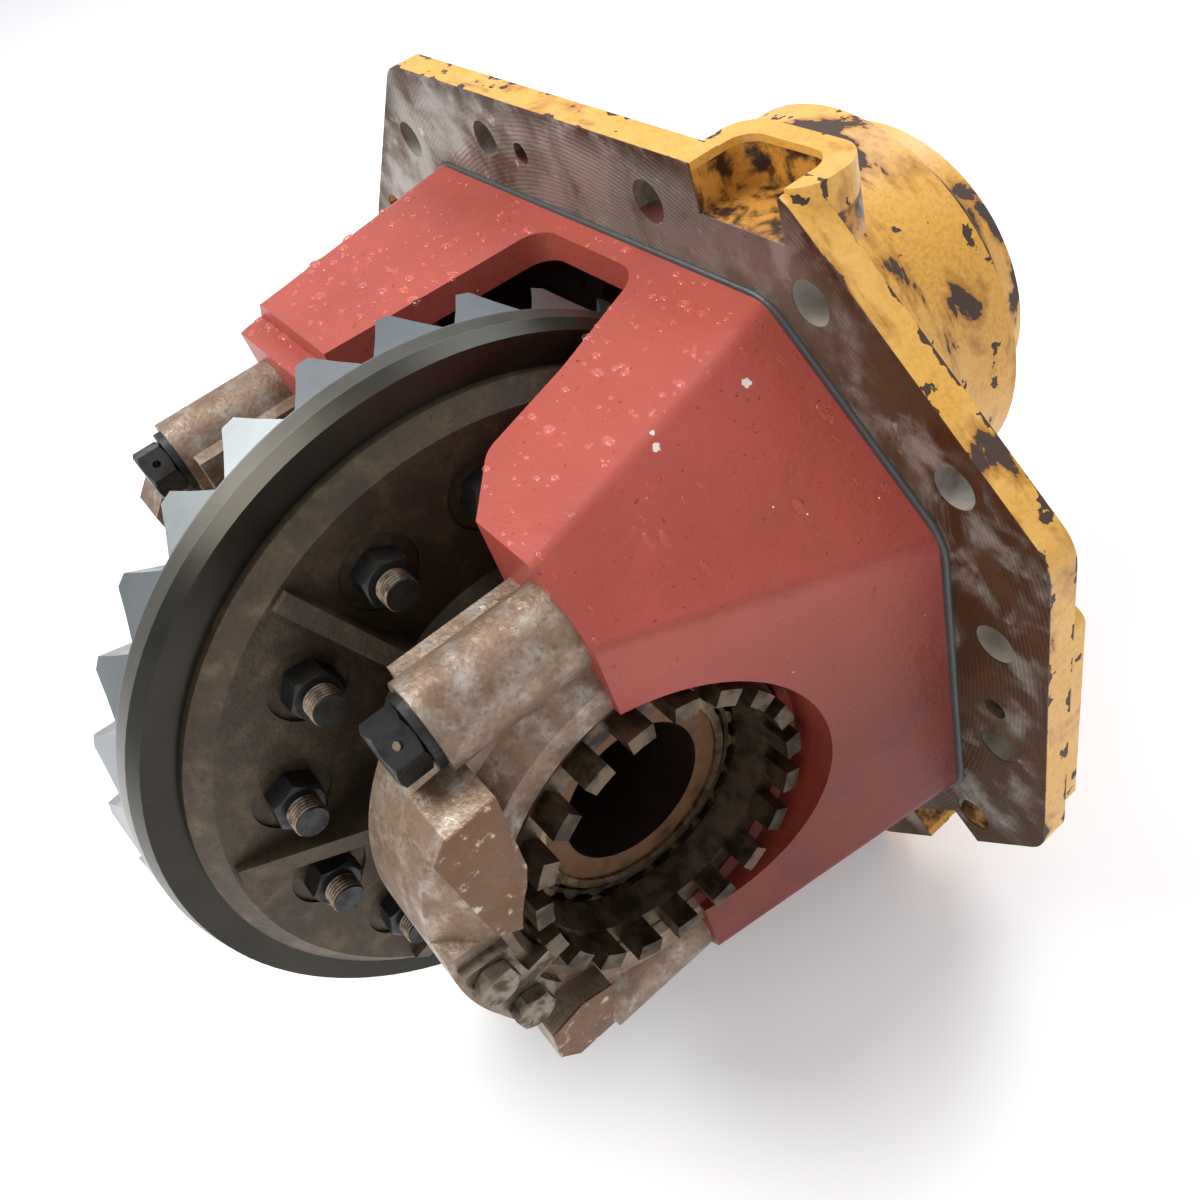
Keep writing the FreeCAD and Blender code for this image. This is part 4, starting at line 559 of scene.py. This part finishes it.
class DIFF_OT_gear_finish(Operator):
    """Gives the crown wheel, pinion and bevel gears their steel"""
    bl_idname = "differential.gear_finish"
    bl_label = "Gears"

    def execute(self, context):
        c = context.scene.diff_steel
        dress(gear_material(c), "ring_gear")
        small = steel_material("lapped_gear_steel", c.gear_bright, c.gear, 0.9, (0.3, 0.42), 20.0, 0.4, 0.8,
                               0.05)
        names = ["near_side_gear", "far_side_gear", "drive_pinion"]
        names += ["spider_pinion_%d" % (i + 1) for i in range(4)]
        dress(small, *names)
        ground = steel_material("ground_shaft_steel", c.shaft, c.gear, 0.95, (0.22, 0.35), 26.0, 0.3, 0.5,
                                0.03)
        dress(ground, "cross_shaft", "pinion_spacer", "pinion_washer", "bearing_cap_dowels")
        turned = steel_material("turned_flange_steel", linear("#6b655c"), linear("#4a3522"), 0.8,
                                (0.4, 0.65), 24.0, 0.5, 1.1, 0.08, PINION)
        dress(turned, "companion_flange")
        bronze = steel_material("phosphor_bronze", c.bronze, linear("#5f4424"), 0.95, (0.3, 0.45), 15.0,
                                0.4, 0.8, 0.03)
        dress(bronze, "side_gear_washers", "spider_pinion_washers")
        return {"FINISHED"}


class DIFF_OT_fastener_finish(Operator):
    """Gives the bolts, nuts, adjusters and lock plates their plating"""
    bl_idname = "differential.fastener_finish"
    bl_label = "Fasteners"

    def execute(self, context):
        c = context.scene.diff_steel
        black = steel_material("black_oxide_steel", c.fastener, linear("#2c2823"), 0.75, (0.36, 0.55), 9.0,
                               0.4, 0.9, 0.05)
        dress(black, "bearing_cap_bolts", "bearing_cap_washers", "ring_gear_nuts", "ring_gear_bolts",
              "case_half_bolts", "pinion_nut", "pinion_cage_bolts")
        zinc = steel_material("zinc_plated_steel", c.zinc, linear("#4d4031"), 0.8, (0.38, 0.6), 8.0, 0.42,
                              0.9, 0.05)
        dress(zinc, "near_lock_plate", "far_lock_plate", "lock_plate_bolts", "pinion_cage_shims")
        oily = steel_material("oily_machined_steel", c.adjuster, linear("#2e2318"), 0.7, (0.34, 0.5), 14.0,
                              0.5, 0.8, 0.1)
        dress(oily, "near_adjuster", "far_adjuster")
        return {"FINISHED"}


class DIFF_OT_bearing_finish(Operator):
    """Gives the tapered roller bearings their ground steel"""
    bl_idname = "differential.bearing_finish"
    bl_label = "Bearings"

    def execute(self, context):
        c = context.scene.diff_steel
        race = steel_material("ground_bearing_steel", c.race, linear("#4a3522"), 0.9, (0.26, 0.45), 12.0,
                              0.45, 0.5, 0.03)
        cage = steel_material("pressed_cage_steel", linear("#5d5142"), linear("#2b2118"), 0.8, (0.4, 0.6),
                              9.0, 0.4, 1.0, 0.05)
        for bearing in ("near_bearing", "far_bearing", "pinion_head_bearing", "pinion_tail_bearing"):
            dress(race, bearing + "_cup", bearing + "_cone", bearing + "_rollers")
            dress(cage, bearing + "_cage")
        return {"FINISHED"}


class DIFF_OT_sealant(Operator):
    """Runs a bead of gasket silicone round the root of the primed casting"""
    bl_idname = "differential.sealant"
    bl_label = "Sealant bead"

    def execute(self, context):
        sizes = context.scene.diff_sizes
        bpy.ops.object.select_all(action="DESELECT")
        bpy.ops.mesh.primitive_circle_add(vertices=len(ROOT_CORNERS), radius=0.2, fill_type="NGON",
                                          location=(0, 0, 0), rotation=(math.pi / 2, 0, 0))
        bead = context.active_object
        bead.name = "sealant_bead"
        bpy.ops.object.transform_apply(location=True, rotation=True, scale=True)
        corners = sorted(ROOT_CORNERS, key=lambda p: math.atan2(p[1], p[0]))
        around = sorted(bead.data.vertices, key=lambda v: math.atan2(v.co.z, v.co.x))
        for vertex, (x, z) in zip(around, corners):
            out_x = x * MM + math.copysign(sizes.bead_width * 0.8, x)
            out_z = z * MM + math.copysign(sizes.bead_width * 0.5, z)
            vertex.co = Vector((out_x, 0.0, out_z))
        bpy.ops.object.mode_set(mode="EDIT")
        bpy.ops.mesh.select_all(action="SELECT")
        bpy.ops.mesh.bevel(offset=12.0 * MM, segments=6, affect="VERTICES")
        bpy.ops.mesh.select_all(action="SELECT")
        bpy.ops.mesh.inset(thickness=sizes.bead_width * 1.3, depth=0.0)
        bpy.ops.mesh.delete(type="FACE")
        bpy.ops.object.mode_set(mode="OBJECT")
        if not bead.data.polygons:
            raise RuntimeError("the sealant bead has no faces")
        solid = bead.modifiers.new("Height", "SOLIDIFY")
        solid.thickness = sizes.bead_height * 2.0
        solid.offset = 0.0
        bevel = bead.modifiers.new("Rounding", "BEVEL")
        bevel.width = sizes.bead_height * 0.7
        bevel.segments = 3
        for modifier in ("Height", "Rounding"):
            bpy.ops.object.modifier_apply(modifier=modifier)
        bpy.ops.object.mode_set(mode="EDIT")
        bpy.ops.mesh.select_all(action="SELECT")
        bpy.ops.mesh.normals_make_consistent(inside=False)
        bpy.ops.object.mode_set(mode="OBJECT")
        bpy.ops.object.shade_smooth_by_angle(angle=math.radians(60))
        silicone = rubber_material("cured_silicone", context.scene.diff_carrier.sealant, 0.36)
        bead.data.materials.append(silicone)
        finish_piece(bead, "carrier")
        return {"FINISHED"}


class DIFF_OT_rain_drops(Operator):
    """Lays rain drops on the upper faces of the primed casting and the near bearing cap"""
    bl_idname = "differential.rain_drops"
    bl_label = "Rain drops"

    def execute(self, context):
        sizes = context.scene.diff_sizes
        chance = random.Random(7)
        bpy.ops.object.select_all(action="DESELECT")
        bpy.ops.mesh.primitive_uv_sphere_add(segments=8, ring_count=6, radius=1.0, location=(0, 0, 0))
        model = context.active_object
        drops = []
        tries = 0
        while len(drops) < sizes.drop_count and tries < sizes.drop_count * 12:
            tries += 1
            # a drop falls straight down, and stays where the face that it meets is flat enough
            start = Vector((chance.uniform(-0.24, 0.24), chance.uniform(-0.19, -0.004), 0.4))
            for name in ("carrier_housing", "near_bearing_cap"):
                met, spot, normal, face = nodes[name].ray_cast(start, Vector((0.0, 0.0, -1.0)))
                if met and spot.z > 0.05 and normal.z > chance.uniform(0.35, 0.95):
                    break
            else:
                continue
            radius = sizes.drop_radius * chance.uniform(0.4, 1.0) ** 2 * chance.choice((1.0, 1.0, 1.0, 2.0))
            drop = model.copy()
            drop.data = model.data.copy()
            drop.name = "rain_drop"
            context.collection.objects.link(drop)
            down = Vector((0.0, 0.0, -1.0))
            run = (down - normal * down.dot(normal)) if normal.z < 0.98 else Vector((1.0, 0.0, 0.0))
            run.normalize()
            across = normal.cross(run)
            turn = Matrix((run, across, normal)).transposed().to_4x4()
            scale = Matrix.Diagonal((radius * chance.uniform(1.0, 1.9), radius, radius * 0.42, 1.0))
            drop.matrix_world = Matrix.Translation(spot) @ turn @ scale
            drops.append(drop)
        bpy.data.objects.remove(model)
        if not drops:
            raise RuntimeError("no drop met the casting")
        for drop in drops:
            drop.select_set(True)
        context.view_layer.objects.active = drops[0]
        bpy.ops.object.join()
        rain = context.active_object
        rain.name = "rain_drops"
        bpy.ops.object.shade_smooth()
        rain.data.materials.append(water_material())
        rain.visible_shadow = False
        finish_piece(rain, "carrier")
        return {"FINISHED"}


class DIFF_OT_stud_threads(Operator):
    """Cuts a thread on the end of each crown wheel stud"""
    bl_idname = "differential.stud_threads"
    bl_label = "Stud threads"

    def execute(self, context):
        sizes = context.scene.diff_sizes
        turns = 5
        bpy.ops.object.select_all(action="DESELECT")
        bpy.ops.mesh.primitive_circle_add(vertices=3, radius=0.55 * MM, location=(0, 0, 0))
        thread = context.active_object
        thread.name = "stud_thread"
        corners = [(7.8 * MM, -0.44), (8.75 * MM, 0.0), (7.8 * MM, 0.44)]
        for vertex, (radius, step) in zip(thread.data.vertices, corners):
            vertex.co = Vector((radius, 0.0, step * sizes.thread_pitch))
        screw = thread.modifiers.new("Helix", "SCREW")
        screw.axis = "Z"
        screw.screw_offset = sizes.thread_pitch
        screw.iterations = turns
        screw.steps = screw.render_steps = 20
        bpy.ops.object.modifier_apply(modifier="Helix")
        bpy.ops.object.mode_set(mode="EDIT")
        bpy.ops.mesh.select_all(action="SELECT")
        bpy.ops.mesh.remove_doubles(threshold=0.00001)
        bpy.ops.mesh.select_non_manifold()
        bpy.ops.mesh.edge_face_add()
        bpy.ops.mesh.select_all(action="SELECT")
        bpy.ops.mesh.normals_make_consistent(inside=False)
        bpy.ops.object.mode_set(mode="OBJECT")
        worn = steel_material("rolled_thread_steel", linear("#8a7b6a"), linear("#4a3726"), 0.7, (0.32, 0.5),
                              5.0, 0.4, 0.7, 0.04)
        thread.data.materials.append(worn)
        bpy.ops.object.shade_smooth_by_angle(angle=math.radians(40))
        turn = Matrix.Rotation(math.radians(90), 4, "Y")
        made = []
        for i in range(STUD_COUNT):
            angle = math.radians(STUD_FIRST + 360.0 * i / STUD_COUNT)
            stud = thread.copy()
            stud.data = thread.data.copy()
            stud.name = "stud_thread_%02d" % (i + 1)
            context.collection.objects.link(stud)
            spot = AXLE + Vector((STUD_START, STUD_CIRCLE * math.cos(angle), STUD_CIRCLE * math.sin(angle)))
            stud.matrix_world = Matrix.Translation(spot) @ turn
            made.append(stud)
        bpy.data.objects.remove(thread)
        for stud in made:
            finish_piece(stud, "case")
        return {"FINISHED"}


class DIFF_OT_stage(Operator):
    """Sets the pale floor, the soft lights and the photograph's camera"""
    bl_idname = "differential.stage"
    bl_label = "Stage"

    def execute(self, context):
        scene = context.scene
        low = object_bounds()[0][2] - scene.diff_sizes.floor_gap
        bpy.ops.object.select_all(action="DESELECT")
        bpy.ops.mesh.primitive_plane_add(size=40.0, location=(0, 0, low))
        floor = context.active_object
        floor.name = "floor"
        paper, tree, shader, place = new_material("pale_paper")
        tone = coats(tree, linear("#fbfbfb"), (patches(tree, place, 400.0, 0.5, 0.3), linear("#f8f8f8")))
        tree.links.new(tone, shader.inputs["Base Color"])
        shader.inputs["Roughness"].default_value = 0.9
        shader.inputs["Emission Color"].default_value = linear("#fafaff")
        shader.inputs["Emission Strength"].default_value = 0.16
        floor.data.materials.append(paper)
        floor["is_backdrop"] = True
        world = bpy.data.worlds.new("studio")
        world.use_nodes = True
        world.node_tree.nodes["Background"].inputs[0].default_value = linear("#fafbff")
        world.node_tree.nodes["Background"].inputs[1].default_value = 0.66
        scene.world = world
        lights = (("key", (-0.9, -1.0, 2.3), 1.7, 62.0, "#fffaf5"),
                  ("rim", (-0.5, 1.5, 2.0), 1.4, 30.0, "#eef4ff"),
                  ("fill", (1.2, -1.9, 0.9), 1.2, 5.0, "#fff4ea"))
        for name, spot, size, power, tint in lights:
            bpy.ops.object.light_add(type="AREA", location=spot)
            lamp = context.active_object
            lamp.name = name
            lamp.data.shape = "DISK"
            lamp.data.size = size
            lamp.data.energy = power
            lamp.data.color = linear(tint)[:3]
            aim = Vector((0.0, -0.05, 0.0)) - Vector(spot)
            lamp.rotation_euler = aim.to_track_quat("-Z", "Y").to_euler()
        right = Vector((0.6146, 0.7532, -0.2343)).normalized()
        ahead = Vector((-0.6383, 0.3005, -0.7087)).normalized()
        up = right.cross(ahead).normalized()
        right = ahead.cross(up).normalized()
        bpy.ops.object.camera_add()
        camera = context.active_object
        turn = Matrix((right, up, -ahead)).transposed().to_4x4()
        camera.matrix_world = Matrix.Translation((0.4853, -0.2590, 0.4477)) @ turn
        image_width, focal, middle_x, middle_y = 1200.0, 1109.3, 655.75, 606.14
        camera.data.sensor_width = 36.0
        camera.data.lens = focal / image_width * 36.0
        camera.data.shift_x = (image_width / 2 - middle_x) / image_width
        camera.data.shift_y = (middle_y - image_width / 2) / image_width
        camera.data.clip_start = 0.01
        scene.camera = camera
        scene.view_settings.view_transform = "Standard"
        return {"FINISHED"}


OPERATORS = (DIFF_OT_carrier_finish, DIFF_OT_casting_finish, DIFF_OT_gear_finish, DIFF_OT_fastener_finish,
             DIFF_OT_bearing_finish, DIFF_OT_sealant, DIFF_OT_rain_drops, DIFF_OT_stud_threads, DIFF_OT_stage)
GROUPS = (("diff_carrier", CarrierColours), ("diff_cast", CastColours), ("diff_steel", SteelColours),
          ("diff_sizes", DetailSizes))


class DIFF_PT_panel(Panel):
    """Lists the steps that dress the differential"""
    bl_idname = "DIFF_PT_panel"
    bl_label = "Differential"
    bl_space_type = "VIEW_3D"
    bl_region_type = "UI"
    bl_category = "Differential"

    def draw(self, context):
        for operator in OPERATORS:
            self.layout.operator(operator.bl_idname)
        for name, group in GROUPS:
            box = self.layout.box()
            for key in group.__annotations__:
                box.prop(getattr(context.scene, name), key)


def register():
    for name, group in GROUPS:
        bpy.utils.register_class(group)
        setattr(bpy.types.Scene, name, PointerProperty(type=group))
    for operator in OPERATORS:
        bpy.utils.register_class(operator)
    bpy.utils.register_class(DIFF_PT_panel)


def unregister():
    bpy.utils.unregister_class(DIFF_PT_panel)
    for operator in reversed(OPERATORS):
        bpy.utils.unregister_class(operator)
    for name, group in reversed(GROUPS):
        delattr(bpy.types.Scene, name)
        bpy.utils.unregister_class(group)


def main():
    register()
    for operator in OPERATORS:
        family, step = operator.bl_idname.split(".")
        getattr(getattr(bpy.ops, family), step)()


if __name__ == "__main__":
    main()
